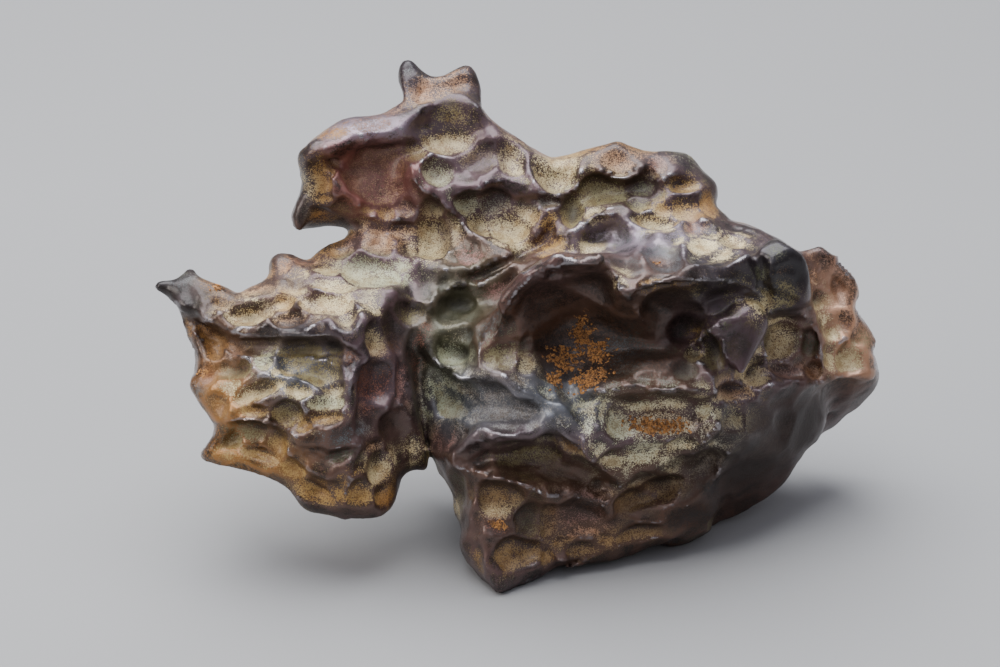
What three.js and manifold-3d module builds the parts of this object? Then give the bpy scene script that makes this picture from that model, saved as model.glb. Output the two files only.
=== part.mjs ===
// Polished iron meteorite: a single irregular piece of iron, hollowed all over by
// thumbprint pits with sharp crests between them.
//
// Millimetres, Z up. The piece rests on z = 0, its long side lies along X and its
// front faces -Y. The origin is the middle of the bottom of the bounding box.
//
// The piece is sculpted as a solid field on a grid. Masses are joined softly, large
// hollows and crests are worked into the front, pits are scooped out all round, and
// the skin of the field is then taken off as triangles and thinned out.

import * as THREE from 'three';
import Module from 'manifold-3d';

// ---------------------------------------------------------------- driving dimensions

const SQUARE = 0.4;                  // side of one square of the drawing sheet
const SHEET_MIDDLE = [500, 333];     // sheet square that lies over the middle of the piece
const LOOK_DOWN = 25.5;              // degrees the front view is drawn from above
const VIEW_DISTANCE = 1111;          // near parts are drawn larger, as seen from here
const MIDDLE_HEIGHT = 82.4;          // height of the sheet's middle above the ground
const CELL = 2.5;                    // grid cell of the field
const FIELD_LOW = [-152, -116, -104];
const FIELD_HIGH = [164, 122, 88];
const TRIANGLES = 9400;              // what the thinned skin keeps
const REST_LINE = [[-1, -59], [82, -21]];  // where the front foot meets the ground, from above
const REST_HEEL = [8, 40];           // where the hidden heel meets the ground
const REST_KNOBS = [[0, -51, 9], [72, -21, 9], [4, 36, 10]];  // x, y and radius of the knobs it rests on
const REST_SINK = 1.6;               // how far the knobs run into the ground before it trims them
const UNDERSIDE_ROUND = 110;         // larger leaves the underside flatter between the rests
const UNDERSIDE_HEIGHT = 17;         // most the underside lifts off the ground
const PIT_DEPTH = 0.7;               // pit depth for each millimetre of mean half width
const PIT_WIDER = 1.34;              // a whole pit against its floor, which is what is drawn
const DEEPEST_PIT = 8;
const DEEPEST_SIDE_PIT = 9;
const SOUND_DEPTH = 11;              // cuts are less deep where the piece is thinner than twice this
const RIM = 0.8;                     // how far the skin rises between pits that stay apart
const GROW = 1.2;                    // what the masses gain before pits and outline trim them
const SEED = 77;

// ---------------------------------------------------------------- drawing of the front

// All x, y below are squares of the drawing sheet, x to the right and y downwards.
// Depths are millimetres towards the viewer from the sheet.
// A facing plane is [x, y, depth, slope to the right, slope upwards].

// Outline of the whole piece as the front view shows it; nothing stands out past it.
const FRONT_OUTLINE = '152,286 167,278 180,271 191,266 203,277 224,286 236,291 250,286 266,279 269,273 '
  + '268,260 278,248 285,247 305,257 312,254 320,240 327,233 342,236 347,232 343,228 325,227 307,232 '
  + '297,230 292,217 299,192 299,174 296,156 306,146 309,135 322,131 340,117 368,112 384,112 404,100 '
  + '399,80 401,66 409,58 417,66 430,76 444,76 457,71 470,69 478,86 481,108 498,125 520,139 541,154 '
  + '563,156 584,149 614,137 629,140 655,151 688,152 703,171 718,185 717,200 729,219 746,223 782,240 '
  + '799,252 821,244 850,268 860,291 858,305 871,325 879,341 876,357 881,378 862,410 840,425 805,447 '
  + '786,477 765,503 733,523 690,541 640,555 600,565 563,571 530,582 505,592 494,590 473,566 460,545 '
  + '459,527 451,493 437,476 431,471 412,471 402,478 400,500 384,519 346,521 311,513 298,506 286,489 '
  + '262,476 231,467 204,461 200,450 211,434 208,420 193,396 189,385 194,357 183,338 181,324 166,300 '
  + '154,292';

const MASSES = [
  { name: 'hidden back', edge: 22, blend: 10,
    outline: '462,270 540,205 640,190 730,215 800,262 836,340 822,420 790,484 700,556 600,580 '
      + '500,572 450,520 442,430 440,340',
    front: [[650, 380, 0, 0, 0.3]],
    back: [[640, 400, -78, 0.1, 0.5], [640, 270, -54, 0.15, 1.4], [800, 380, -46, 0.95, 0.3],
      [480, 420, -58, -0.7, 0.3]] },
  { name: 'core', edge: 13, blend: 7,
    outline: '418,335 440,316 478,312 505,286 530,259 562,248 606,247 640,232 700,222 760,226 '
      + '800,248 816,300 832,360 825,420 795,465 745,514 660,548 560,556 480,530 455,490 425,440 '
      + '415,380',
    front: [[600, 400, 50, 0.05, 0.28], [430, 400, 26, 0.75, 0.25], [770, 350, 28, -1, 0.3],
      [700, 445, 32, -0.45, 1.5], [590, 252, 56, 0, -1.9], [700, 252, 42, -0.35, -1.5]],
    back: [[600, 400, -50, 0, 0.45]] },
  { name: 'shoulder', edge: 11, blend: 7,
    outline: '500,128 520,138 548,156 563,155 584,148 614,136 646,147 688,151 714,177 719,195 '
      + '718,207 746,222 777,237 775,275 680,285 600,270 540,275 490,262 480,190',
    front: [[620, 200, 14, 0, -0.25], [700, 230, 16, -0.45, -0.5]],
    back: [[600, 200, -38, 0.1, 0.9], [700, 220, -36, 0.6, 0.5]] },
  { name: 'head', edge: 9, blend: 6,
    outline: '292,226 293,210 299,190 297,160 303,146 325,128 345,115 376,111 405,99 425,92 460,90 '
      + '476,97 488,111 520,137 545,154 560,205 540,255 500,272 440,266 400,246 366,236 343,228 '
      + '312,231 300,231',
    front: [[380, 180, 22, 0.05, 0.55], [400, 127, 27, 0.05, -1.7], [480, 180, 18, -0.15, -0.25]],
    back: [[400, 170, -30, 0, 0.45], [310, 170, -18, -0.6, 0.3]] },
  { name: 'neck', edge: 14, blend: 8,
    outline: '345,235 380,222 420,215 480,215 520,240 515,290 480,325 430,345 395,330 365,290 340,262',
    front: [[430, 260, 20, 0, -0.45]],
    back: [[430, 260, -30, 0, 0.4]] },
  { name: 'arm', edge: 8, blend: 6,
    outline: '152,286 158,281 191,265 200,273 217,280 236,290 250,285 266,277 268,256 280,246 '
      + '306,256 322,235 345,232 380,245 405,280 425,330 420,380 424,430 431,472 412,473 402,480 '
      + '399,507 386,519 362,521 346,522 325,516 303,510 286,490 262,477 231,468 206,463 199,453 '
      + '211,432 209,420 190,391 188,380 194,360 182,335 167,303',
    front: [[300, 390, 48, 0.22, 0.3], [300, 300, 38, 0.15, -1.35], [345, 400, 52, -1, 0.2],
      [190, 300, 22, 0.5, -0.2], [300, 490, 40, 0.1, 1.1]],
    back: [[300, 360, -14, -0.1, 0.35], [200, 330, 4, -0.5, 0.2], [330, 480, -2, 0.1, -1]] },
  { name: 'foot', edge: 7, blend: 6,
    outline: '448,440 600,430 720,440 712,533 675,545 640,556 612,563 585,568 563,571 538,580 '
      + '512,590 499,594 490,585 473,566 460,547 459,527 454,500',
    front: [[520, 500, 38, -0.38, 0.42], [475, 520, 30, 0.9, 0.4]],
    back: [[560, 500, -45, 0, 0.2]] },
  { name: 'right end', edge: 10, blend: 7,
    outline: '740,235 777,238 799,252 822,243 834,254 856,274 861,291 858,305 872,325 880,341 '
      + '877,352 882,378 868,403 840,426 813,442 796,460 775,492 750,511 720,500 715,400 725,300',
    front: [[790, 300, 14, -0.5, 0], [850, 378, -8, -0.6, 1.8], [730, 420, 28, -0.75, 1.5]],
    back: [[800, 350, -56, 0.3, 0.4], [860, 350, -50, 0.8, 0.3]] },
  { name: 'lip', edge: 5, blend: 5,
    outline: '690,264 718,262 740,256 752,252 768,282 752,300 728,292 700,282',
    front: [[725, 272, 44, 0, 0.6]],
    back: [[725, 272, 10, 0, 0.4]] },
  { name: 'flap', edge: 5, blend: 5,
    outline: '479,337 505,296 522,279 545,263 560,255 580,260 608,252 616,272 634,296 600,318 '
      + '560,322 520,330',
    front: [[560, 290, 60, 0.15, 0.9], [500, 320, 48, 0.7, 0.3]],
    back: [[560, 290, 22, 0, 0.9]] },
];

// Small masses that keep their own crisp shape: they join after the pits are cut.
const LATE_MASSES = [
  { name: 'block', edge: 3, blend: 3,
    outline: '750,262 762,247 777,239 792,246 806,262 811,290 808,306 786,312 771,308 762,290',
    front: [[782, 270, 44, -0.5, 0.2], [765, 262, 42, 0.6, -0.6], [782, 300, 40, -0.2, 0.9]],
    back: [[778, 275, -10, 0, 0.4]] },
];

// Pointed spurs: [x, y, depth, radius] at the root, then the same at the tip.
const SPURS = [
  [214, 298, 14, 8, 160, 288, 15, 2.6],
  [190, 290, 13, 7, 191, 273, 10, 2.5],
  [409, 106, 12, 8, 410, 68, 8, 3.4],
  [412, 104, 10, 6, 440, 92, 8, 6],
  [448, 104, 12, 10, 462, 84, 8, 5.5],
  [468, 100, 8, 7, 472, 76, 4, 2.6],
  [300, 205, 6, 8, 297, 228, 10, 3],
  [743, 328, 38, 8, 741, 368, 40, 1.8],
];

// Hollows sunk into the front: depth, reach of the slope from the rim, and how much
// deeper each one gets to the right and upwards.
const HOLLOWS = [
  { name: 'main hollow', depth: 24, reach: 32, lean: [0.15, 0.5],
    outline: '490,345 500,325 512,302 530,280 552,268 590,266 610,262 622,290 640,302 690,300 '
      + '716,318 722,350 716,385 690,390 650,386 608,394 600,425 587,440 560,420 540,402 522,386 '
      + '505,372' },
  { name: 'green plate', depth: 9, reach: 8, lean: [0, 0.9],
    outline: '604,395 640,388 664,392 717,392 724,409 706,437 688,457 667,468 642,473 619,483 '
      + '594,463 598,437' },
  { name: 'left plate', depth: 8, reach: 10, lean: [-0.2, 0.9],
    outline: '424,348 443,365 459,376 483,380 505,384 525,393 550,424 530,433 517,435 492,430 '
      + '464,426 445,450 430,436 420,400' },
  { name: 'under the crest', depth: 11, reach: 9, lean: [0, 0.4],
    outline: '457,454 480,444 505,437 530,434 551,426 572,445 596,464 618,486 604,502 570,496 '
      + '540,492 505,476 480,468 462,466' },
  { name: 'left centre', depth: 6, reach: 10, lean: [0, 0.3],
    outline: '436,296 462,286 490,288 502,302 490,318 480,337 474,372 450,370 430,352 426,325' },
  { name: 'under the lip', depth: 12, reach: 11, lean: [0, 0.6],
    outline: '636,292 690,280 735,284 758,300 738,316 708,332 684,354 660,340 642,318' },
  { name: 'right of tooth', depth: 8, reach: 10, lean: [0, 0.3],
    outline: '758,322 790,314 808,320 818,345 824,380 808,385 785,383 760,387 742,388 748,368 758,350' },
  { name: 'left of tooth', depth: 8, reach: 9, lean: [0, 0.2],
    outline: '684,354 708,332 724,328 722,350 738,378 748,392 735,408 720,396 714,375 704,362' },
  { name: 'red hollow', depth: 11, reach: 15, lean: [-0.1, 0.4],
    outline: '318,152 335,150 359,136 388,134 404,130 414,150 414,172 424,192 415,215 380,218 '
      + '356,200 336,182' },
  { name: 'head bowl', depth: 6, reach: 10, lean: [0, 0.3],
    outline: '438,195 470,184 512,184 536,196 538,235 524,255 500,245 484,238 464,226 450,207' },
  { name: 'head upper', depth: 6, reach: 13, lean: [0, 0.3],
    outline: '404,135 418,116 437,98 455,97 480,110 492,122 502,150 480,185 440,192 424,188 412,165' },
  { name: 'neck bowl', depth: 5, reach: 12, lean: [0, 0.3],
    outline: '405,215 424,194 440,202 452,212 466,236 470,268 430,268 402,266 392,240' },
  { name: 'olive bowl', depth: 8, reach: 13, lean: [0, 0.2],
    outline: '272,362 290,344 320,338 342,340 352,360 350,388 352,405 330,402 305,396 278,386' },
  { name: 'gold face', depth: 5, reach: 11, lean: [0, 0.2],
    outline: '188,345 182,312 205,318 227,325 240,345 252,372 275,386 262,394 240,388 222,384 198,392' },
  { name: 'under the arm crest', depth: 12, reach: 7, lean: [0, 0.4],
    outline: '172,303 190,316 214,326 238,335 262,336 285,338 312,337 335,340 352,348 356,358 '
      + '340,366 320,358 290,357 262,355 238,354 220,344 200,335 178,318' },
  { name: 'arm right', depth: 3, reach: 10, lean: [0, 0.3],
    outline: '358,372 372,358 388,362 396,400 405,412 421,440 402,450 385,440 366,428 352,412' },
  { name: 'arm low', depth: 4, reach: 9, lean: [0, 0.2],
    outline: '196,430 240,420 280,430 288,452 305,466 335,477 345,500 318,506 290,488 262,473 '
      + '232,463 204,458' },
  { name: 'arm roof', depth: 4, reach: 9, lean: [0, -0.2],
    outline: '212,290 245,292 284,280 300,296 312,325 285,330 266,322 252,331 227,324 205,312' },
  { name: 'arm roof right', depth: 4, reach: 8, lean: [0, 0.2],
    outline: '290,280 320,292 357,308 356,324 345,333 330,326 312,326 297,305' },
  { name: 'shoulder hollow', depth: 7, reach: 12, lean: [0, 0.3],
    outline: '572,182 590,168 625,172 645,164 662,176 666,196 650,208 626,213 600,212 580,222 '
      + '562,232 556,205' },
  { name: 'shelf', depth: 4, reach: 9, lean: [0, -0.2],
    outline: '632,226 660,232 684,226 690,262 668,276 640,286 624,284 612,262 616,240' },
  { name: 'shelf right', depth: 3, reach: 8, lean: [0, 0],
    outline: '688,228 704,220 740,228 765,240 745,254 715,262 690,260' },
  { name: 'shelf left', depth: 4, reach: 8, lean: [0, 0.2],
    outline: '545,238 575,234 600,216 622,216 628,232 612,248 580,258 556,252 535,262 520,270 535,250' },
  { name: 'foot front', depth: 5, reach: 15, lean: [0, 0.2],
    outline: '470,485 505,478 543,494 590,500 610,512 610,538 560,572 512,588 494,584 484,548 476,520' },
  { name: 'foot right', depth: 6, reach: 11, lean: [0, 0.3],
    outline: '612,500 626,482 660,474 690,458 722,438 722,462 700,495 660,520 620,535' },
  { name: 'right end face', depth: 5, reach: 10, lean: [-0.3, 0.2],
    outline: '826,262 845,260 858,280 860,304 870,325 878,350 878,374 840,374 826,365 820,330 812,300' },
];

// Crests that stand up between the hollows: height, half width, line over the front.
const CRESTS = [
  [4, 9, '309,143 320,151 333,149 345,143 358,135 372,134 388,137 397,133 405,125 415,113 426,103 '
    + '437,97 447,95 459,98 470,104 481,112'],
  [2.5, 7, '338,180 350,191 362,204 374,218'],
  [3, 7, '311,150 322,161 333,174 337,190 330,207'],
  [3.5, 8, '412,172 418,182 425,191 437,197 445,203 453,214 462,228 471,232 483,238 493,246 502,262'],
  [3, 8, '452,192 464,187 478,186 498,183 512,185 530,190'],
  [2, 7, '424,160 436,157 450,157 462,150 478,141 496,137'],
  [3, 8, '362,226 378,243 393,243 404,254 416,263 432,267 455,268 474,273'],
  [2.5, 7, '442,200 447,222 452,244 457,262'],
  [3, 7, '532,158 534,177 544,184 553,187 562,192 572,188 580,176 590,155'],
  [2.5, 7, '603,160 609,171 620,177 631,172 642,166 652,170 664,178 674,171 690,160'],
  [4, 8, '560,240 575,233 586,222 598,213 610,208 621,207 628,216 631,223 645,229 661,231 675,229 '
    + '684,219 691,213 701,217 712,223 725,226'],
  [2, 6, '655,194 670,193 690,195 703,190'],
  [3, 7, '641,232 643,250 641,275'],
  [3, 7, '684,232 682,250 684,262 690,278'],
  [2.5, 7, '684,262 696,263 712,261 724,255 738,250'],
  [4.5, 9, '479,337 491,315 506,296 522,279 540,267 560,257 580,260 596,261 608,254 612,268 617,281 '
    + '625,291 636,296'],
  [3.5, 8, '637,284 655,280 670,279 682,277 694,268 720,267 738,262 750,254'],
  [3.5, 7, '166,298 176,301 191,306 205,315 214,317 221,313 229,320 241,326 252,330 262,325 271,322 '
    + '281,330 298,332 312,326 321,323 336,328 346,333 357,340'],
  [3, 7, '281,279 292,281 306,285 326,288 345,297 358,304 368,306'],
  [2.5, 6, '283,281 291,295 297,304 305,313 311,326'],
  [3, 7, '312,272 326,269 341,275 353,283 363,293 371,305'],
  [2.5, 6, '392,258 398,275 397,297'],
  [4.5, 8, '369,305 361,320 357,331 361,346 369,356 360,366 352,380 350,395 353,408 345,425 335,432 '
    + '320,440 305,440 292,438 287,446 291,456 301,464 313,470 326,476 340,478'],
  [2.5, 6, '221,342 232,358 242,370 250,375'],
  [2.5, 6, '232,384 250,376 263,378 280,377 301,380 320,383'],
  [2.5, 6, '240,402 262,398 285,398 300,401 305,411 325,412 342,411'],
  [2.5, 6, '228,402 236,418 262,421 270,424 276,432'],
  [3, 7, '357,372 370,362 384,360 392,372 395,395 386,407 370,414'],
  [3, 7, '406,366 412,395 417,420 421,440 428,455 439,465'],
  [3, 7, '393,398 404,410 416,425 421,440'],
  [2.5, 6, '372,437 360,447 352,462 345,480'],
  [2.5, 6, '371,470 362,478 350,485 346,498'],
  [3.5, 7, '426,345 432,354 443,364 458,374 468,378 484,378 503,378 514,388 525,394'],
  [2.5, 7, '440,300 446,292 455,285 462,280 470,270'],
  [4.5, 9, '450,462 458,452 468,445 480,430 492,430 506,434 518,436 532,434 545,426 552,425'],
  [3.5, 9, '552,425 562,430 574,443 582,449 594,463 606,474 618,481 630,477 644,471 665,467 680,459 '
    + '690,452 702,440 716,432 725,420'],
  [3, 8, '520,360 535,373 552,392 566,408 588,424 600,437'],
  [3, 8, '622,352 645,360 665,361 680,358'],
  [3, 8, '625,385 650,390 676,389 700,387 716,392'],
  [2.5, 6, '600,440 612,440 640,443 665,441 690,438'],
  [3, 8, '505,476 525,484 543,494 563,497 590,499 605,506 610,520'],
  [2.5, 7, '615,500 622,484 640,478'],
  [3.5, 8, '740,430 733,445 724,465 712,478 700,490 686,498 668,506 650,518 632,522'],
  [3.5, 7, '488,528 490,545 493,560 497,574 499,590'],
  [3, 7, '471,482 474,500 472,512 462,545'],
  [2.5, 6, '535,540 538,552 534,566'],
  [2.5, 6, '560,542 562,556 560,568'],
  [3, 8, '762,330 768,318 780,314 800,311 810,309'],
  [2.5, 6, '765,345 770,356 785,358 798,355 800,335'],
  [3, 8, '805,262 810,290 812,310 818,330 822,350 826,378'],
  [3, 8, '820,246 834,258 848,264 857,278'],
  [4, 9, '757,386 775,382 792,380 808,386 826,380 845,376 865,376 880,379'],
  [3, 7, '840,310 846,325 843,342 838,348'],
  [3, 7, '705,330 716,322 728,316 740,314'],
  [2.5, 6, '690,345 698,338 704,345 706,370 716,384'],
];

// Pits over the front: x, y, half width, half height, turn in degrees and share of the
// full depth.
const PITS = {
  head: '335 132 13 6 20 0.9|372 122 20 7 12 0.9|448 108 20 12 0 0.5|446 141 24 12 8 0.5|'
    + '412 150 14 10 0 0.9|418 126 20 9 -20 0.45|437 173 14 12 0 0.9|485 158 28 15 -10 0.25|'
    + '462 176 12 7 0 0.45|490 124 10 12 30 0.45|512 157 14 18 0 0.9|466 202 14 14 0 0.6|'
    + '494 203 16 16 0 0.6|508 226 22 14 -15 0.6|480 224 16 9 -25 0.9|432 206 10 13 0 0.9|'
    + '432 238 16 21 -10 0.6|378 238 16 12 20 0.9|402 230 14 9 0 0.9|470 251 14 16 10 0.4|'
    + '368 168 24 20 20 0.35|398 184 12 14 20 0.45|405 206 9 10 0 0.9|388 211 10 9 0 0.9|'
    + '370 210 10 8 0 0.9|346 208 18 12 20 0.4|318 178 12 17 0 0.9|305 182 7 14 0 0.9|'
    + '322 198 10 7 0 0.9|320 217 14 7 0 0.9|303 213 6 10 20 0.9|322 247 13 10 -30 0.9|'
    + '370 270 24 15 -38 0.7|352 240 9 8 0 0.9|453 262 8 6 0 0.45',
  shoulder: '554 170 22 16 0 0.9|620 156 19 13 0 0.9|656 160 13 10 0 0.9|598 187 20 19 0 0.55|'
    + '645 182 16 15 0 0.55|640 203 12 7 0 0.9|683 182 17 8 0 0.9|690 205 20 9 0 0.9|'
    + '664 206 11 8 0 0.9|655 219 22 8 0 0.9|590 212 17 9 28 0.9|573 212 10 18 0 0.9|'
    + '549 232 11 19 0 0.35|545 200 18 6 0 0.9|620 240 15 12 0 0.9|621 271 8 18 30 0.9|'
    + '660 256 20 18 0 0.35|704 245 18 12 15 0.5|733 238 12 9 15 0.9|592 247 14 4 0 0.9|'
    + '705 178 9 12 0 0.45|708 205 8 12 0 0.9',
  right: '757 307 12 10 0 0.9|818 273 9 15 0 0.9|845 286 13 20 0 0.9|822 301 10 12 0 0.9|'
    + '833 331 9 10 0 0.9|833 356 9 14 0 0.9|851 358 15 14 0 0.9|848 320 10 13 0 0.9|'
    + '868 336 9 12 30 0.9|779 342 15 17 0 0.9|786 368 16 8 0 0.9|810 342 8 14 0 0.9|'
    + '816 371 9 10 0 0.9|711 350 9 22 15 0.9|694 351 8 11 0 0.9|753 371 13 15 0 0.9|'
    + '734 391 20 10 0 0.9|735 416 12 15 0 0.9|690 335 9 6 0 0.9|850 402 22 7 38 0.3|'
    + '810 424 26 14 32 0.3|765 452 20 18 0 0.3|790 393 24 8 10 0.3|728 322 9 8 0 0.9',
  middle: '444 283 10 10 0 0.9|458 303 14 12 0 0.5|453 353 18 10 0 0.9|463 334 10 11 0 0.9|'
    + '499 348 17 18 0 0.7|530 364 11 8 -35 0.9|548 388 13 6 -40 0.9|431 388 9 17 0 0.5|'
    + '450 403 20 13 -15 0.4|505 410 36 14 0 0.25|441 436 11 15 0 0.4|410 312 13 11 0 0.9|'
    + '396 298 9 10 0 0.45|476 450 10 7 0 0.9|468 435 18 7 0 0.45|530 455 30 14 0 0.4|'
    + '566 446 13 8 0 0.9|562 470 26 11 0 0.25|642 336 22 12 0 0.25|645 352 22 7 0 0.2|'
    + '676 376 26 9 0 0.15|548 300 46 24 -38 0.15|600 345 62 34 0 0.4|595 285 26 14 0 0.45|'
    + '590 400 15 6 0 0.9|617 428 14 15 0 0.3|640 452 22 12 0 0.35|682 449 18 11 10 0.35|'
    + '664 421 28 12 0 0.25|640 400 18 8 0 0.25|700 405 15 10 0 0.3|611 462 14 9 0 0.9|'
    + '660 288 20 5 0 0.9|722 292 20 7 0 0.4|690 310 16 8 0 0.45|712 300 12 6 0 0.45|'
    + '500 288 22 8 25 0.9',
  foot: '500 498 22 17 0 0.9|500 511 15 6 0 0.9|497 526 16 8 0 0.45|530 520 13 18 0 0.9|'
    + '549 520 11 16 0 0.9|582 512 24 14 0 0.5|586 529 14 6 0 0.9|518 553 24 15 0 0.9|'
    + '548 556 8 12 0 0.9|585 550 18 9 0 0.9|606 540 12 9 0 0.9|638 503 20 14 0 0.9|'
    + '662 487 17 10 0 0.9|640 536 24 7 5 0.9|480 560 5 12 0 0.9|455 488 9 17 0 0.9|'
    + '474 520 8 18 0 0.45|690 515 28 11 15 0.3|718 492 16 16 0 0.3|700 462 18 11 25 0.45',
  arm: '213 284 12 6 -20 0.9|226 300 13 8 -20 0.9|250 310 22 14 10 0.7|281 299 12 9 0 0.9|'
    + '290 318 17 9 0 0.9|325 303 27 12 -12 0.7|346 318 9 8 0 0.9|250 287 18 6 0 0.9|'
    + '185 309 15 10 -40 0.9|208 342 18 13 -20 0.9|231 351 8 12 -25 0.9|204 372 11 12 0 0.9|'
    + '232 369 14 9 0 0.9|200 325 12 7 0 0.9|196 388 8 10 0 0.9|262 357 11 11 0 0.9|'
    + '274 370 9 7 0 0.9|302 356 22 13 0 0.6|322 372 22 15 -15 0.5|290 368 10 7 0 0.9|'
    + '334 388 12 9 0 0.9|325 402 19 8 0 0.9|257 390 26 8 15 0.9|296 391 14 9 0 0.9|'
    + '254 411 14 10 0 0.9|285 414 15 14 0 0.9|301 425 9 8 0 0.9|326 418 17 7 0 0.9|'
    + '215 411 12 14 35 0.9|250 431 21 10 0 0.9|276 441 12 14 0 0.9|224 453 14 8 0 0.9|'
    + '257 455 20 10 -15 0.9|294 469 15 10 -20 0.9|311 492 22 10 -25 0.9|337 487 9 12 20 0.9|'
    + '310 452 14 7 0 0.45|350 432 22 9 30 0.4|345 455 18 6 10 0.9|373 378 17 22 0 0.35|'
    + '375 341 9 19 25 0.9|401 385 10 22 0 0.35|394 429 18 15 0 0.35|382 468 13 16 -30 0.9|'
    + '378 447 12 7 0 0.9|416 448 7 14 0 0.9|361 493 13 14 0 0.9|388 493 10 14 0 0.9|'
    + '350 512 18 5 0 0.45|335 281 28 11 -15 0.9|282 262 8 13 0 0.9|300 262 10 5 0 0.9|'
    + '395 330 10 18 20 0.45|352 360 8 14 0 0.9',
  details: '425 92 14 9 -20 0.9|455 83 12 9 0 0.9|473 95 8 9 0 0.45|409 67 5 7 0 0.9|'
    + '414 84 5 8 0 0.45|778 252 13 9 0 0.9|762 270 8 9 0 0.9|787 273 12 7 0 0.45|'
    + '781 297 16 11 0 0.9|800 280 7 12 0 0.45|738 335 8 12 0 0.45|752 332 6 12 0 0.45|'
    + '168 285 8 5 0 0.9|184 280 11 7 0 0.9|182 292 12 5 0 0.45',
};

// Pits over the sides that face away: the direction they are cut from (right, up,
// towards the viewer), their spacing and their half widths.
const SIDE_HOLLOWS = [{ from: [0, 0, -1], spacing: 46, half: [24, 34] }];
const SIDE_PITS = [
  { from: [0, 0, -1], spacing: 23, half: [10, 17] },
  { from: [0, 1, -0.4], spacing: 24, half: [9, 16] },
  { from: [0, -1, 0], spacing: 24, half: [9, 16] },
  { from: [-1, 0, -0.2], spacing: 22, half: [8, 14] },
  { from: [1, 0, -0.2], spacing: 22, half: [8, 14] },
];

// ---------------------------------------------------------------- small helpers

const clamp = (x, low, high) => Math.min(Math.max(x, low), high);
const onSheet = (x, y) => [(x - SHEET_MIDDLE[0]) * SQUARE, (SHEET_MIDDLE[1] - y) * SQUARE];
const points = (text) => text.split(' ').map((pair) => pair.split(',').map(Number));

function softMin(a, b, k) {
  const h = clamp(0.5 + 0.5 * (b - a) / k, 0, 1);
  return b + (a - b) * h - k * h * (1 - h);
}

function softMax(a, b, k) {
  return -softMin(-a, -b, k);
}

function smoothStep(low, high, x) {
  const t = clamp((x - low) / (high - low), 0, 1);
  return t * t * (3 - 2 * t);
}

function randomFrom(seed) {
  let state = seed;
  return () => {
    state = (state + 0x6D2B79F5) | 0;
    let t = Math.imul(state ^ (state >>> 15), 1 | state);
    t = (t + Math.imul(t ^ (t >>> 7), 61 | t)) ^ t;
    return ((t ^ (t >>> 14)) >>> 0) / 4294967296;
  };
}

// Smooth line through the drawn points, in millimetres.
function smoothLine(text, steps, closed) {
  const p = points(text).map(([x, y]) => onSheet(x, y));
  const n = p.length;
  const at = (i) => (closed ? p[(i + n) % n] : p[clamp(i, 0, n - 1)]);
  const line = [];
  for (let i = 0; i < (closed ? n : n - 1); i += 1) {
    const [a, b, c, d] = [at(i - 1), at(i), at(i + 1), at(i + 2)];
    for (let s = 0; s < steps; s += 1) {
      const t = s / steps;
      line.push([0, 1].map((q) => 0.5 * (2 * b[q] + (c[q] - a[q]) * t
        + (2 * a[q] - 5 * b[q] + 4 * c[q] - d[q]) * t * t
        + (3 * b[q] - a[q] - 3 * c[q] + d[q]) * t * t * t)));
    }
  }
  if (!closed) line.push(p[n - 1]);
  return line;
}

// ---------------------------------------------------------------- the field

const COUNT = [0, 1, 2].map((q) => Math.floor((FIELD_HIGH[q] - FIELD_LOW[q]) / CELL) + 1);
const [NU, NV, NW] = COUNT;
const field = new Float32Array(NU * NV * NW).fill(50);
const index = (i, j, k) => (i * NV + j) * NW + k;
const along = (q, i) => FIELD_LOW[q] + i * CELL;

// Field value anywhere, by straight blending between grid points.
function fieldAt(p) {
  const base = [0, 0, 0];
  const part = [0, 0, 0];
  for (let q = 0; q < 3; q += 1) {
    const x = (p[q] - FIELD_LOW[q]) / CELL;
    base[q] = clamp(Math.floor(x), 0, COUNT[q] - 2);
    part[q] = x - base[q];
  }
  let sum = 0;
  for (let c = 0; c < 8; c += 1) {
    const [a, b, d] = [c & 1, (c >> 1) & 1, (c >> 2) & 1];
    sum += field[index(base[0] + a, base[1] + b, base[2] + d)]
      * (a ? part[0] : 1 - part[0]) * (b ? part[1] : 1 - part[1]) * (d ? part[2] : 1 - part[2]);
  }
  return sum;
}

// Visit the grid points in a box around a centre.
function visit(centre, reach, work) {
  const from = [0, 1, 2].map((q) => Math.max(0, Math.floor((centre[q] - reach[q] - FIELD_LOW[q]) / CELL)));
  const to = [0, 1, 2].map((q) => Math.min(COUNT[q] - 1,
    Math.ceil((centre[q] + reach[q] - FIELD_LOW[q]) / CELL)));
  for (let i = from[0]; i <= to[0]; i += 1) {
    for (let j = from[1]; j <= to[1]; j += 1) {
      for (let k = from[2]; k <= to[2]; k += 1) {
        work(index(i, j, k), along(0, i), along(1, j), along(2, k));
      }
    }
  }
}

// Distance to an outline for each column of the grid, negative inside it. Columns
// further away than the margin are left as far off.
function outlineDistance(line, margin) {
  const distance = new Float32Array(NU * NV).fill(1e3);
  const low = [0, 1].map((q) => Math.min(...line.map((p) => p[q])) - margin);
  const high = [0, 1].map((q) => Math.max(...line.map((p) => p[q])) + margin);
  for (let i = 0; i < NU; i += 1) {
    const u = along(0, i);
    for (let j = 0; j < NV; j += 1) {
      const v = along(1, j);
      if (u < low[0] || u > high[0] || v < low[1] || v > high[1]) continue;
      let nearest = 1e9;
      let inside = false;
      for (let s = 0; s < line.length; s += 1) {
        const [au, av] = line[s];
        const [bu, bv] = line[(s + 1) % line.length];
        const [eu, ev] = [bu - au, bv - av];
        const t = clamp(((u - au) * eu + (v - av) * ev) / (eu * eu + ev * ev + 1e-12), 0, 1);
        nearest = Math.min(nearest, (u - au - t * eu) ** 2 + (v - av - t * ev) ** 2);
        if ((av > v) !== (bv > v) && u < (bu - au) * (v - av) / (bv - av) + au) inside = !inside;
      }
      distance[i * NV + j] = (inside ? -1 : 1) * Math.sqrt(nearest);
    }
  }
  return distance;
}

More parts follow.
